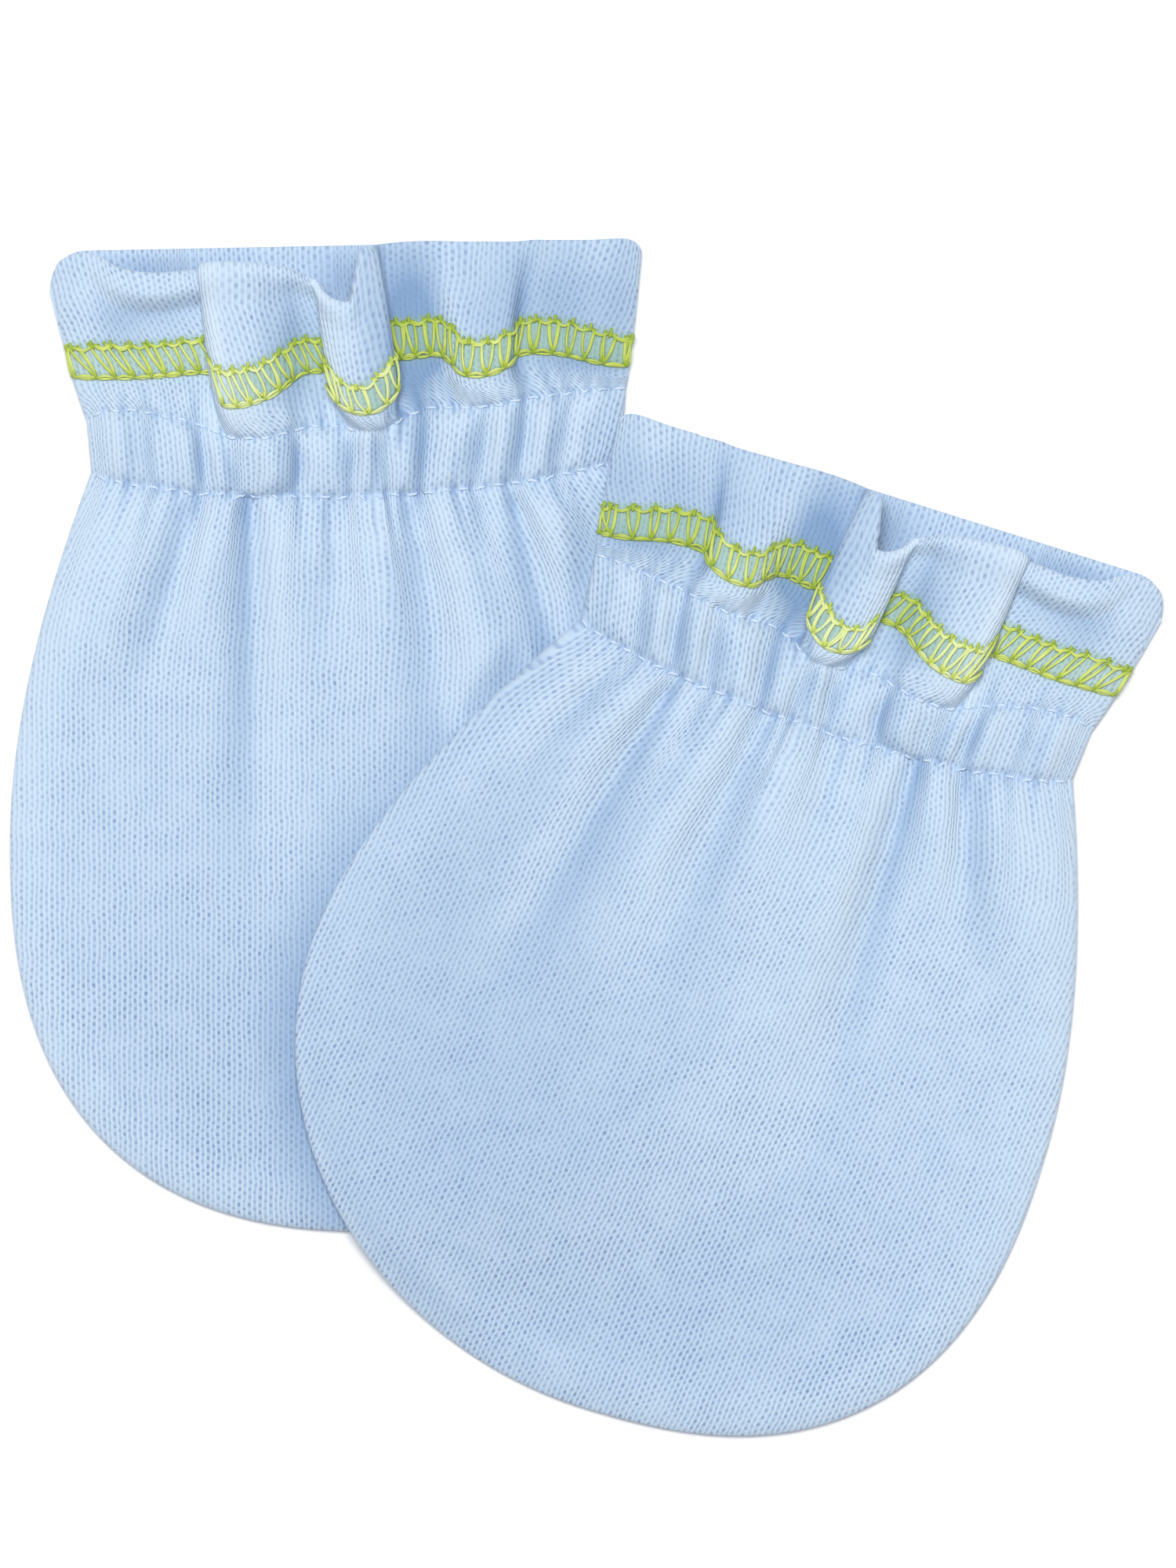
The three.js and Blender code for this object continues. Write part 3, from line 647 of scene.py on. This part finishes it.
def make_panel(name, lay, columns, rows, outer, inner, shade):
    """A closed thin wall between two faces over a grid, with the cut's places as its UV map."""
    nr, nc = outer.shape[:2]
    points = np.concatenate([outer.reshape(-1, 3), inner.reshape(-1, 3)])
    points = (points + np.array([SHIFT[0], SHIFT[1], 0])) * MM
    number = np.arange(nr * nc).reshape(nr, nc)
    a, b, c, d = (number[:-1, :-1], number[1:, :-1], number[1:, 1:], number[:-1, 1:])
    top = np.stack([a, b, c, d], -1).reshape(-1, 4)
    under = np.stack([a, d, c, b], -1).reshape(-1, 4) + nr * nc
    rim = np.concatenate([number[:-1, 0], number[-1, :-1], number[:0:-1, -1], number[0, :0:-1]])
    after = np.roll(rim, -1)
    sides = np.stack([rim, rim + nr * nc, after + nr * nc, after], -1)
    faces = np.concatenate([top, under, sides])
    if lay["mirrored"]:
        faces = faces[:, ::-1]
    mesh = bpy.data.meshes.new(name)
    mesh.from_pydata(points.tolist(), [], faces.tolist())
    column, row = np.broadcast_arrays(columns[None, :], rows[:, None])
    x, y, _ = plan(column, row, name.endswith("back"))
    across, along = cut_place(column, row, x, y, lay["grain"])
    places = np.stack([across / WALE, along / COURSE], -1).reshape(-1, 2)
    places = np.concatenate([places, places])
    corners = np.empty(len(mesh.loops), np.int32)
    mesh.loops.foreach_get("vertex_index", corners)
    knit = mesh.uv_layers.new(name="knit")
    knit.data.foreach_set("uv", places[corners].astype(np.float32).ravel())
    add_attribute(mesh, "shade", np.concatenate([shade.ravel(), 0 * shade.ravel()]))
    mesh.polygons.foreach_set("use_smooth", np.ones(len(mesh.polygons), bool))
    mesh.update()
    piece = bpy.data.objects.new(name, mesh)
    bpy.context.scene.collection.objects.link(piece)
    return piece


def blurred(values, times):
    for _ in range(times):
        padded = np.pad(values, 1, mode="edge")
        values = (padded[:-2, 1:-1] + padded[2:, 1:-1] + 2 * padded[1:-1, :-2] + 2 * padded[1:-1, 2:]) / 6
    return values


OVERLAP_SHADE = 0.45  # painted shadow beside the mitten that lies on it
OVERLAP_REACH = 6.0


def soft_shades(table, x, y):
    return sum(amount * np.exp(-((x - at_x) / width) ** 2 - ((y - at_y) / length) ** 2)
               for at_x, at_y, width, length, amount in table)


def cloth_shade(lay, outer, normal, rounding):
    """How much painted shade the cloth gets: up to 1 deep in a fold, on a slope away from its lit side and on the first
    mitten beside the second; below 0 it gets painted highlight, on a ridge and at the seam.
    """
    height = outer[..., 2] - ground(lay, outer[..., 0], outer[..., 1])
    # Painted shade in creases and hollows, and painted highlight on ridges, from how far the cloth lies below or above
    # its blurred height
    fine = np.clip((blurred(height, 8) - height) / 0.3, -0.5, 0.8)
    wide = np.clip((blurred(height, 60) - height) / 1.2, -0.4, 0.8)
    turn = math.radians(lay["turn"])
    across = normal[..., 0] * math.cos(turn) + normal[..., 1] * math.sin(turn)
    along = normal[..., 1] * math.cos(turn) - normal[..., 0] * math.sin(turn)
    if lay["mirrored"]:
        across = -across
    # Painted light from the mitten's own left and a little from its cuff: slopes turned to its right get painted shade,
    # slopes turned to its left painted highlight
    slope = np.where(across > 0, 0.5, 0.95) * across - 0.06 * along
    shade = 0.15 * fine + 0.35 * wide + slope * rounding
    # Painted shadow of the second mitten on the first, beside its edge and more towards the first's lower end
    if lay is UNDER:
        inside = inside_outline(*from_pair(OVER, outer[..., 0], outer[..., 1]))
        lower = smooth(60, 0, outer[..., 1] + 25)
        shade = shade + OVERLAP_SHADE * smooth(-OVERLAP_REACH, 0, inside) * lower
    # The listed patches of painted shade and painted highlight
    shade = shade + soft_shades(SHADES, *from_pair(lay, outer[..., 0], outer[..., 1]))
    # Painted highlight on the steep cloth next to the seam
    return np.clip(shade - 0.8 * (1 - rounding) ** 2, -1, 1)


def add_attribute(mesh, name, values):
    attribute = mesh.attributes.new(name, "FLOAT", "POINT")
    attribute.data.foreach_set("value", values.astype(np.float32))


def front_panel(name, lay):
    columns, rows = grid_places(FRONT_STEPS)
    c, r = np.broadcast_arrays(columns[None, :], rows[:, None])
    outer = front_face(lay, c, r)
    normal = grid_normals(outer)
    if lay["mirrored"]:
        normal = -normal
    thickness = CLOTH + HEM * smooth(HEM_ROW + 0.02, HEM_ROW - 0.02, r)
    inner = outer - normal * thickness[..., None]
    x, y = from_pair(lay, outer[..., 0], outer[..., 1])
    rounding = side_rounding(x, y)
    floor = ground(lay, inner[..., 0], inner[..., 1])
    inner[..., 2] = np.maximum(inner[..., 2], floor + BACK_TOP_Z + 0.15)
    inner[..., 2] = np.minimum(inner[..., 2], outer[..., 2] - SEAM_WALL)
    inner[..., :2] = mix(outer[..., :2], inner[..., :2], smooth(0, 1, rounding)[..., None])
    shade = cloth_shade(lay, outer, normal, rounding)
    half = (1 - hem_edge_share(r))[..., None] * (outer - inner) / 2
    outer, inner = outer - half, inner + half * 0.94
    return make_panel(name, lay, columns, rows, outer, inner, shade)


def back_panel(name, lay):
    columns, rows = grid_places(BACK_STEPS)
    c, r = np.broadcast_arrays(columns[None, :], rows[:, None])
    under = back_underside(lay, c, r)
    x, y = from_pair(lay, under[..., 0], under[..., 1])
    rounding = side_rounding(x, y)
    upper = under.copy()
    hem = 0.2 * smooth(HEM_ROW + 0.02, HEM_ROW - 0.02, r)
    top = mix(SEAM_Z - SEAM_PARTING + SEAM_WALL, BACK_TOP_Z - 0.2 + hem, rounding)
    upper[..., 2] = top + ground(lay, under[..., 0], under[..., 1])
    half = (1 - hem_edge_share(r))[..., None] * (upper - under) / 2
    upper, under = upper - half * 0.94, under + half
    # Painted shade on the back panel's inner face, less of it towards the seam
    shade = (INSIDE_SHADE + soft_shades(INSIDE_SHADES, x, y)) * rounding
    return make_panel(name, lay, columns, rows, upper, under, shade)


class Wire:
    """A socket's output that the usual operators can be used on. Each adds its Math node."""

    def __init__(self, finish, socket):
        self.finish = finish
        self.socket = socket

    def _math(self, operation, *values):
        return self.finish.node("ShaderNodeMath", {"operation": operation}, values)

    def __add__(self, other):
        return self._math("ADD", self, other)

    def __sub__(self, other):
        return self._math("SUBTRACT", self, other)

    def __mul__(self, other):
        return self._math("MULTIPLY", self, other)

    def __truediv__(self, other):
        return self._math("DIVIDE", self, other)

    def __rsub__(self, other):
        return self._math("SUBTRACT", other, self)

    def __pow__(self, other):
        return self._math("POWER", self, other)

    def __abs__(self):
        return self._math("ABSOLUTE", self)

    def fraction(self):
        return self._math("FRACT", self)

    __radd__ = __add__
    __rmul__ = __mul__


class Finish:
    """A material that is built from expressions on its nodes' outputs."""

    def __init__(self, name, **sockets):
        self.material = bpy.data.materials.new(name)
        self.material.use_nodes = True
        self.tree = self.material.node_tree
        self.shader = next(n for n in self.tree.nodes if n.type == "BSDF_PRINCIPLED")
        for socket, value in sockets.items():
            self.shader.inputs[socket.replace("_", " ")].default_value = value

    def node(self, kind, settings=None, sockets=(), output=0):
        made = self.tree.nodes.new(kind)
        for name, value in (settings or {}).items():
            setattr(made, name, value)
        pairs = sockets.items() if isinstance(sockets, dict) else enumerate(sockets)
        for key, value in pairs:
            if isinstance(value, Wire):
                self.tree.links.new(value.socket, made.inputs[key])
            else:
                made.inputs[key].default_value = value
        return Wire(self, made.outputs[output])

    def feed(self, socket, wire):
        self.tree.links.new(wire.socket, self.shader.inputs[socket])

    def noise(self, place, scale, detail=2.0):
        sockets = {"Vector": place, "Scale": scale, "Detail": detail}
        return self.node("ShaderNodeTexNoise", {"noise_dimensions": "3D"}, sockets)

    def ramp(self, value, start, end, low=0.0, high=1.0):
        """A smooth step from low at start to high at end."""
        sockets = {"Value": value, "From Min": start, "From Max": end, "To Min": low, "To Max": high}
        return self.node("ShaderNodeMapRange", {"interpolation_type": "SMOOTHSTEP"}, sockets)

    def line(self, value, start, end):
        """0 at start, 1 at end, and held there."""
        sockets = {"Value": value, "From Min": start, "From Max": end}
        return self.node("ShaderNodeMapRange", {"interpolation_type": "LINEAR"}, sockets)

    def blend(self, share, first, second):
        """A mix of two colours."""
        return self.node("ShaderNodeMix", {"data_type": "RGBA"}, {0: share, 6: first, 7: second}, output=2)


def interlock_knit():
    """Light blue cotton interlock: pairs of ribs, with a column of small holes between the pairs."""
    finish = Finish("blue_interlock", Roughness=0.95, Sheen_Weight=0.15, Sheen_Roughness=0.6)
    place = finish.node("ShaderNodeUVMap", {"uv_map": "knit"})
    wander = finish.noise(place, 0.35, 1.0)
    u = finish.node("ShaderNodeSeparateXYZ", sockets=[place], output=0) + wander * 0.45
    v = finish.node("ShaderNodeSeparateXYZ", sockets=[place], output=1) + finish.noise(place, 0.7, 1.0) * 0.5
    off_holes = abs(u.fraction() - 0.5)
    off_course = abs(v.fraction() - 0.5)
    from_hole = ((off_holes * WALE / HOLE_HALF_WIDTH) ** 2 + (off_course * COURSE / HOLE_HALF_LENGTH) ** 2) ** 0.5
    region = finish.ramp(finish.noise(place, 0.12, 2.0), 0.4, 0.62, 0.65, 1.0)
    lower = finish.ramp(finish.node("ShaderNodeSeparateXYZ", sockets=[place], output=1), 60.0, 110.0, 1.0, 1.45)
    strong = region * lower * finish.ramp(finish.noise(place, 0.8, 2.0), 0.3, 0.7, 0.5, 1.2)
    off_line = 0.5 - off_holes
    from_gap = ((off_line * WALE / HOLE_HALF_WIDTH) ** 2 + ((0.5 - off_course) * COURSE / HOLE_HALF_LENGTH) ** 2) ** 0.5
    hole = finish.ramp(from_hole, 1.6, 0.4) * strong * 0.75 + finish.ramp(from_gap, 1.5, 0.3) * strong * 0.55
    wear_and_highlight = finish.ramp(finish.noise(place, 0.3, 2.0), 0.35, 0.65, 0.6, 1.15) * lower
    column = finish.ramp(off_holes, 0.2, 0.02) * wear_and_highlight * 0.32
    line = finish.ramp(off_holes, 0.34, 0.5) * wear_and_highlight
    stroke = abs((v + off_holes * 1.6).fraction() - 0.5) * 2
    rib = finish.ramp(abs(off_holes - 0.26), 0.22, 0.05)
    fuzz_place = finish.node("ShaderNodeTexCoord", output="Object")
    fuzz = finish.noise(fuzz_place, 3800.0, 3.0)
    patchy = finish.noise(fuzz_place, 260.0, 3.0)
    cloth = finish.blend(rib * 0.45 + stroke * 0.35 + fuzz * 0.5 - 0.15, RIB_SHADE, RIB_LIGHT)
    cloth = finish.blend(line * 0.4 + column, cloth, LINE_COLOUR)
    cloth = finish.blend(hole, cloth, HOLE_COLOUR)
    cloth = finish.blend(finish.ramp(patchy, 0.35, 0.7, 0.0, 0.2), cloth, PALE_PATCH_AND_HIGHLIGHT_COLOUR)
    # The panel's shade attribute blends in painted shade, and painted highlight where it is below 0
    shade = finish.node("ShaderNodeAttribute", {"attribute_name": "shade"}, output="Fac")
    cloth = finish.blend(finish.line(shade, 0.0, 1.0), cloth, PAINTED_SHADE_COLOUR)
    cloth = finish.blend(finish.line(shade, 0.0, -1.0), cloth, PALE_PATCH_AND_HIGHLIGHT_COLOUR)
    # The cloth under the hem's lime stitching: partly the green of the thread's fuzz, partly painted shade between the
    # threads, less of it under painted highlight
    along = finish.node("ShaderNodeSeparateXYZ", sockets=[place], output=1) * COURSE
    band = (finish.ramp(along, HEM_TOP_ROW * CUFF_LENGTH - 0.9, HEM_TOP_ROW * CUFF_LENGTH + 0.4)
            * finish.ramp(along, HEM_ROW * CUFF_LENGTH + 0.9, HEM_ROW * CUFF_LENGTH - 0.4))
    cloth = finish.blend(band * (0.6 - finish.line(shade, 0.0, -0.6) * 0.45), cloth, BAND_COLOUR)
    finish.feed("Base Color", cloth)
    height = rib * 0.4 + stroke * 0.2 - hole - line * 0.3 - column + fuzz * 0.4
    bump = finish.node("ShaderNodeBump", sockets={"Strength": 0.6, "Distance": 0.00014, "Height": height})
    finish.feed("Normal", bump)
    return finish.material


def thread(name, light, dark, wear_and_highlight, roughness):
    """Sewing thread: a soft shine and an uneven tone, with painted shade where it dives into the cloth and a paler
    painted highlight where that shade is below 0.
    """
    finish = Finish(name, Roughness=roughness, Sheen_Weight=0.2)
    place = finish.node("ShaderNodeTexCoord", output="Object")
    dive_shade = finish.node("ShaderNodeAttribute", {"attribute_name": "dive_shade"}, output="Fac")
    shade = finish.ramp(finish.noise(place, 900.0, 2.0), 0.35, 0.75, 0.0, 0.3)
    colour = finish.blend(finish.line(shade + dive_shade, 0.0, 1.0), light, dark)
    finish.feed("Base Color", finish.blend(finish.line(dive_shade, 0.1, -0.5), colour, wear_and_highlight))
    twist = finish.noise(place, 5200.0, 1.0)
    bump = finish.node("ShaderNodeBump", sockets={"Strength": 0.5, "Distance": 0.00006, "Height": twist})
    finish.feed("Normal", bump)
    return finish.material


def floor_finish():
    finish = Finish("studio_floor", Roughness=0.9)
    place = finish.node("ShaderNodeTexCoord", output="Object")
    tone = finish.noise(place, 3.0, 1.0)
    finish.feed("Base Color", finish.blend(tone, (0.93, 0.93, 0.93, 1), (0.95, 0.95, 0.95, 1)))
    return finish.material


RIB_LIGHT = (0.57, 0.70, 0.83, 1)
RIB_SHADE = (0.46, 0.61, 0.78, 1)
LINE_COLOUR = (0.33, 0.47, 0.71, 1)
HOLE_COLOUR = (0.21, 0.29, 0.55, 1)
# The pale colour is random pale patches and painted highlight; the next one is painted shade
PALE_PATCH_AND_HIGHLIGHT_COLOUR = (0.62, 0.745, 0.88, 1)
PAINTED_SHADE_COLOUR = (0.22, 0.35, 0.56, 1)
# The green under the hem stitching: the thread's fuzz, with painted shade between the threads
BAND_COLOUR = (0.31, 0.49, 0.34, 1)
HOLE_HALF_WIDTH = 0.125
HOLE_HALF_LENGTH = 0.175

TUBE_SIDES = 6


def sew(name, lay, face, strands, radius, material):
    """Threads on a panel as one mesh of closed tubes. A strand is rows of column, row, lift off the cloth, and painted
    shade, most where the thread dives into the cloth.
    """
    flat = np.concatenate(strands)
    normals = outward(face, lay, flat[:, 0], flat[:, 1])
    places = face(lay, flat[:, 0], flat[:, 1]) + normals * flat[:, 2:3]
    if face is back_underside:
        places[:, 2] = np.maximum(places[:, 2], radius + ground(lay, places[:, 0], places[:, 1]))
    places = places + np.array([SHIFT[0], SHIFT[1], 0])
    around = np.linspace(0, 2 * math.pi, TUBE_SIDES, endpoint=False)[None, :, None]
    points, faces, start = [], [], 0
    for strand in strands:
        end = start + len(strand)
        line, normal = places[start:end], normals[start:end]
        ahead = np.gradient(line, axis=0)
        ahead /= np.linalg.norm(ahead, axis=1, keepdims=True)
        side = np.cross(ahead, normal)
        side /= np.linalg.norm(side, axis=1, keepdims=True)
        up = np.cross(side, ahead)
        ring = line[:, None] + radius * (np.cos(around) * side[:, None] + np.sin(around) * up[:, None])
        points.append(ring.reshape(-1, 3))
        number = np.arange(start, end)[:, None] * TUBE_SIDES + np.arange(TUBE_SIDES)
        after = np.roll(number, -1, axis=1)
        faces += np.stack([number[:-1], number[1:], after[1:], after[:-1]], -1).reshape(-1, 4).tolist()
        faces += [number[0].tolist(), number[-1, ::-1].tolist()]
        start = end
    mesh = bpy.data.meshes.new(name)
    mesh.from_pydata((np.concatenate(points) * MM).tolist(), [], faces)
    add_attribute(mesh, "dive_shade", np.repeat(flat[:, 3], TUBE_SIDES))
    mesh.polygons.foreach_set("use_smooth", np.ones(len(mesh.polygons), bool))
    mesh.update()
    mesh.materials.append(material)
    piece = bpy.data.objects.new(name, mesh)
    bpy.context.scene.collection.objects.link(piece)
    return piece


def column_at(place):
    return np.interp(place, WALE_PLACES, WALE_COLUMNS)


LADDER_PITCH = 1.95  # where the ruffle lies flat
WAVE_PITCH = 1.5  # over the first two waves
# Columns where a wave's side turns under, which hides its stitches
HIDDEN_STITCHES = [(7.3, 8.6), (14.2, 15.4), (20.2, 21.0)]
LADDER_PLY = 0.14  # each strand is two plies of this radius
PLY_SPREAD = 0.1
LADDER_LEAN = {"left": -0.75, "right": 0.1}  # how far the rungs lean, in pitches
LOWER_BOW = 0.016  # how far each edge's chain swings between the stitches
UPPER_BOW = 0.03
KNOT_ROWS = 0.05


def hem_ladder(draw):
    """The hem's cover stitch: a wavy chain along each edge, two rungs up from each lower stitch, and small knots."""
    start, end = WALE_PLACES[0] + 0.3, WALE_PLACES[-1] - 0.3
    lower = [start]
    while lower[-1] < end:
        x = gather("gx", column_at(lower[-1]))
        over_waves = smooth(-15, -13, x) * smooth(12, 10, x)
        lower.append(lower[-1] + mix(LADDER_PITCH, WAVE_PITCH, over_waves) * draw.uniform(0.9, 1.1))
    lower = np.minimum(np.array(lower), end)
    count = len(lower) - 1
    lean = mix(LADDER_LEAN["left"], LADDER_LEAN["right"], smooth(-14, 24, lower)) * LADDER_PITCH
    upper = lower + lean + np.array([draw.uniform(-0.2, 0.2) for _ in lower])
    t = np.linspace(0, 1, 10)
    arch = np.sin(math.pi * t)
    strands = []

    def strand(places, rows, lift, dive_shade=None):
        places = np.clip(places, start, end)
        # Painted shade at the strand's ends, where it goes into the cloth
        if dive_shade is None:
            dive_shade = 0.9 * np.abs(2 * t - 1) ** 3
        middle = column_at(places.mean())
        hidden = any(first < middle < last for first, last in HIDDEN_STITCHES)
        if hidden or (np.ptp(places) < 0.1 and np.ptp(rows) < KNOT_ROWS / 2):
            return
        for _ in range(2):
            aside, askew, above = (draw.uniform(-PLY_SPREAD, PLY_SPREAD) for _ in range(3))
            swing = aside + askew * (2 * t - 1)
            column = column_at(places + swing)
            height = gather("gz", column)
            # Painted shade on the thread where the ruffle lies low on its right part, and painted highlight on the
            # waves' tops
            low_shade_and_crest_highlight = 0.3 * smooth(4.6, 2.6, height) * smooth(-12, 0, gather("gx", column))
            low_shade_and_crest_highlight = low_shade_and_crest_highlight - 0.5 * smooth(3.8, 5.3, height)
            ply = [column, rows + above / CUFF_LENGTH, lift + abs(above) + 0.14 * arch**0.7]
            strands.append(np.stack([*ply, dive_shade + low_shade_and_crest_highlight + draw.uniform(-0.05, 0.15)], -1))

    for i in range(count + 1):
        for side in (-1, 1):
            apart = side * LADDER_PITCH * draw.uniform(0.2, 0.3) * (1 - t**3)
            row = mix(HEM_TOP_ROW - 0.01 * (side < 0), HEM_ROW, t)
            strand(mix(upper[i], lower[i], t) + apart, row, 0.02 + 0.05 * (side > 0))
        strand(upper[i] + 0 * t, HEM_TOP_ROW + KNOT_ROWS * (0.5 - t), 0.12, 0.75 + 0.2 * arch)
        strand(lower[i] + 0 * t, HEM_ROW - KNOT_ROWS * t * 0.8, 0.1, 0.5 + 0.2 * arch)
        if i < count:
            strand(mix(lower[i], lower[i + 1], t), HEM_ROW - LOWER_BOW * arch, 0.1)
            strand(mix(lower[i], lower[i + 1], t), HEM_ROW + 0.5 * LOWER_BOW * arch, 0.03)
            strand(mix(upper[i], upper[i + 1], t), HEM_TOP_ROW + UPPER_BOW * arch, 0.06)
    return strands


RUNNING_THREAD = 0.13


def running_stitches(draw, seam):
    """A row of plain stitches that dip into the cloth at both ends."""
    columns, along = SEAM_PLACES[seam]
    strands = []
    t = np.linspace(0, 1, 9)
    for start in np.arange(RUNNING_START, along[-1] - 1.2, RUNNING_PITCH):
        begin = start + draw.uniform(-0.1, 0.1)
        places = np.interp(begin + t * RUNNING_STITCH, along, columns)
        if seam == 1 and hides_seam(places).max() > 0.5:
            continue
        lifts = -0.12 + 0.26 * np.sin(math.pi * t) ** 0.6
        tilt = draw.uniform(-0.008, 0.008) * (2 * t - 1)
        # The last column is painted shade at the stitch's ends, where it goes into the cloth
        strands.append(np.stack([places, seam + tilt, lifts, np.abs(2 * t - 1) ** 3], -1))
    return strands


def lay_out(piece, node=None):
    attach(piece, "root")
    if node:
        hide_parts(node)


def build_mitten(name, lay, knit, lime, pale):
    draw = random.Random(len(name))
    front = front_panel(f"{name}_front", lay)
    back = back_panel(f"{name}_back", lay)
    for panel, node in ((front, f"{name}_upper_panel"), (back, f"{name}_lower_panel")):
        panel.data.materials.append(knit)
        lay_out(panel, node)
    sewn = []
    for side, face in (("front", front_face), ("back", back_underside)):
        sewn.append(sew(f"{name}_{side}_hem_stitching", lay, face, hem_ladder(draw), LADDER_PLY, lime))
        rows = running_stitches(draw, 1) + running_stitches(draw, 2)
        sewn.append(sew(f"{name}_{side}_wrist_stitching", lay, face, rows, RUNNING_THREAD, pale))
    for piece in sewn:
        lay_out(piece)
    return front, back


def studio():
    bpy.ops.mesh.primitive_plane_add(size=3.0, location=(0, 0, 0))
    floor = bpy.context.active_object
    floor.name = "floor"
    bpy.ops.object.transform_apply(location=True, rotation=True, scale=True)
    floor.data.materials.append(floor_finish())
    lamps = [
        ("overhead_softbox", (-0.1, 0.45, 2.2), 0.9, 44.8),
    ]
    for name, place, size, power in lamps:
        bpy.ops.object.light_add(type="AREA", location=place)
        lamp = bpy.context.active_object
        lamp.name = name
        lamp.data.size = size
        lamp.data.energy = power
        lamp.rotation_mode = "QUATERNION"
        lamp.rotation_quaternion = (-lamp.location).to_track_quat("-Z", "Y")
        lamp.visible_camera = False
    world = bpy.data.worlds.new("studio")
    bpy.context.scene.world = world
    world.use_nodes = True
    sky = next(n for n in world.node_tree.nodes if n.type == "BACKGROUND")
    sky.inputs["Color"].default_value = (0.93, 0.96, 1.0, 1)
    sky.inputs["Strength"].default_value = 0.35
    bpy.context.scene.view_settings.view_transform = "Standard"


PHOTO_HEIGHT = 0.160  # what the photograph's long side takes in
CAMERA_HEIGHT = 1.6
SENSOR = 36.0


def camera():
    bpy.ops.object.camera_add(location=(0.00012, 0.00548, CAMERA_HEIGHT), rotation=(0, 0, 0))
    made = bpy.context.active_object
    made.data.sensor_width = SENSOR
    made.data.lens = SENSOR * CAMERA_HEIGHT / PHOTO_HEIGHT
    made.data.clip_end = 10
    bpy.context.scene.camera = made


knit = interlock_knit()
# The lime thread: light, dark for an uneven tone and for painted shade where it dives and lies low, and pale for
# painted highlight on the waves' tops
lime = thread("lime_thread", (0.64, 0.72, 0.15, 1), (0.32, 0.45, 0.03, 1), (0.72, 0.80, 0.38, 1), 0.5)
pale = thread("pale_blue_thread", (0.66, 0.77, 0.90, 1), (0.40, 0.55, 0.80, 1), (0.66, 0.77, 0.90, 1), 0.6)
studio()
camera()
build_mitten("under_mitten", UNDER, knit, lime, pale)
build_mitten("over_mitten", OVER, knit, lime, pale)
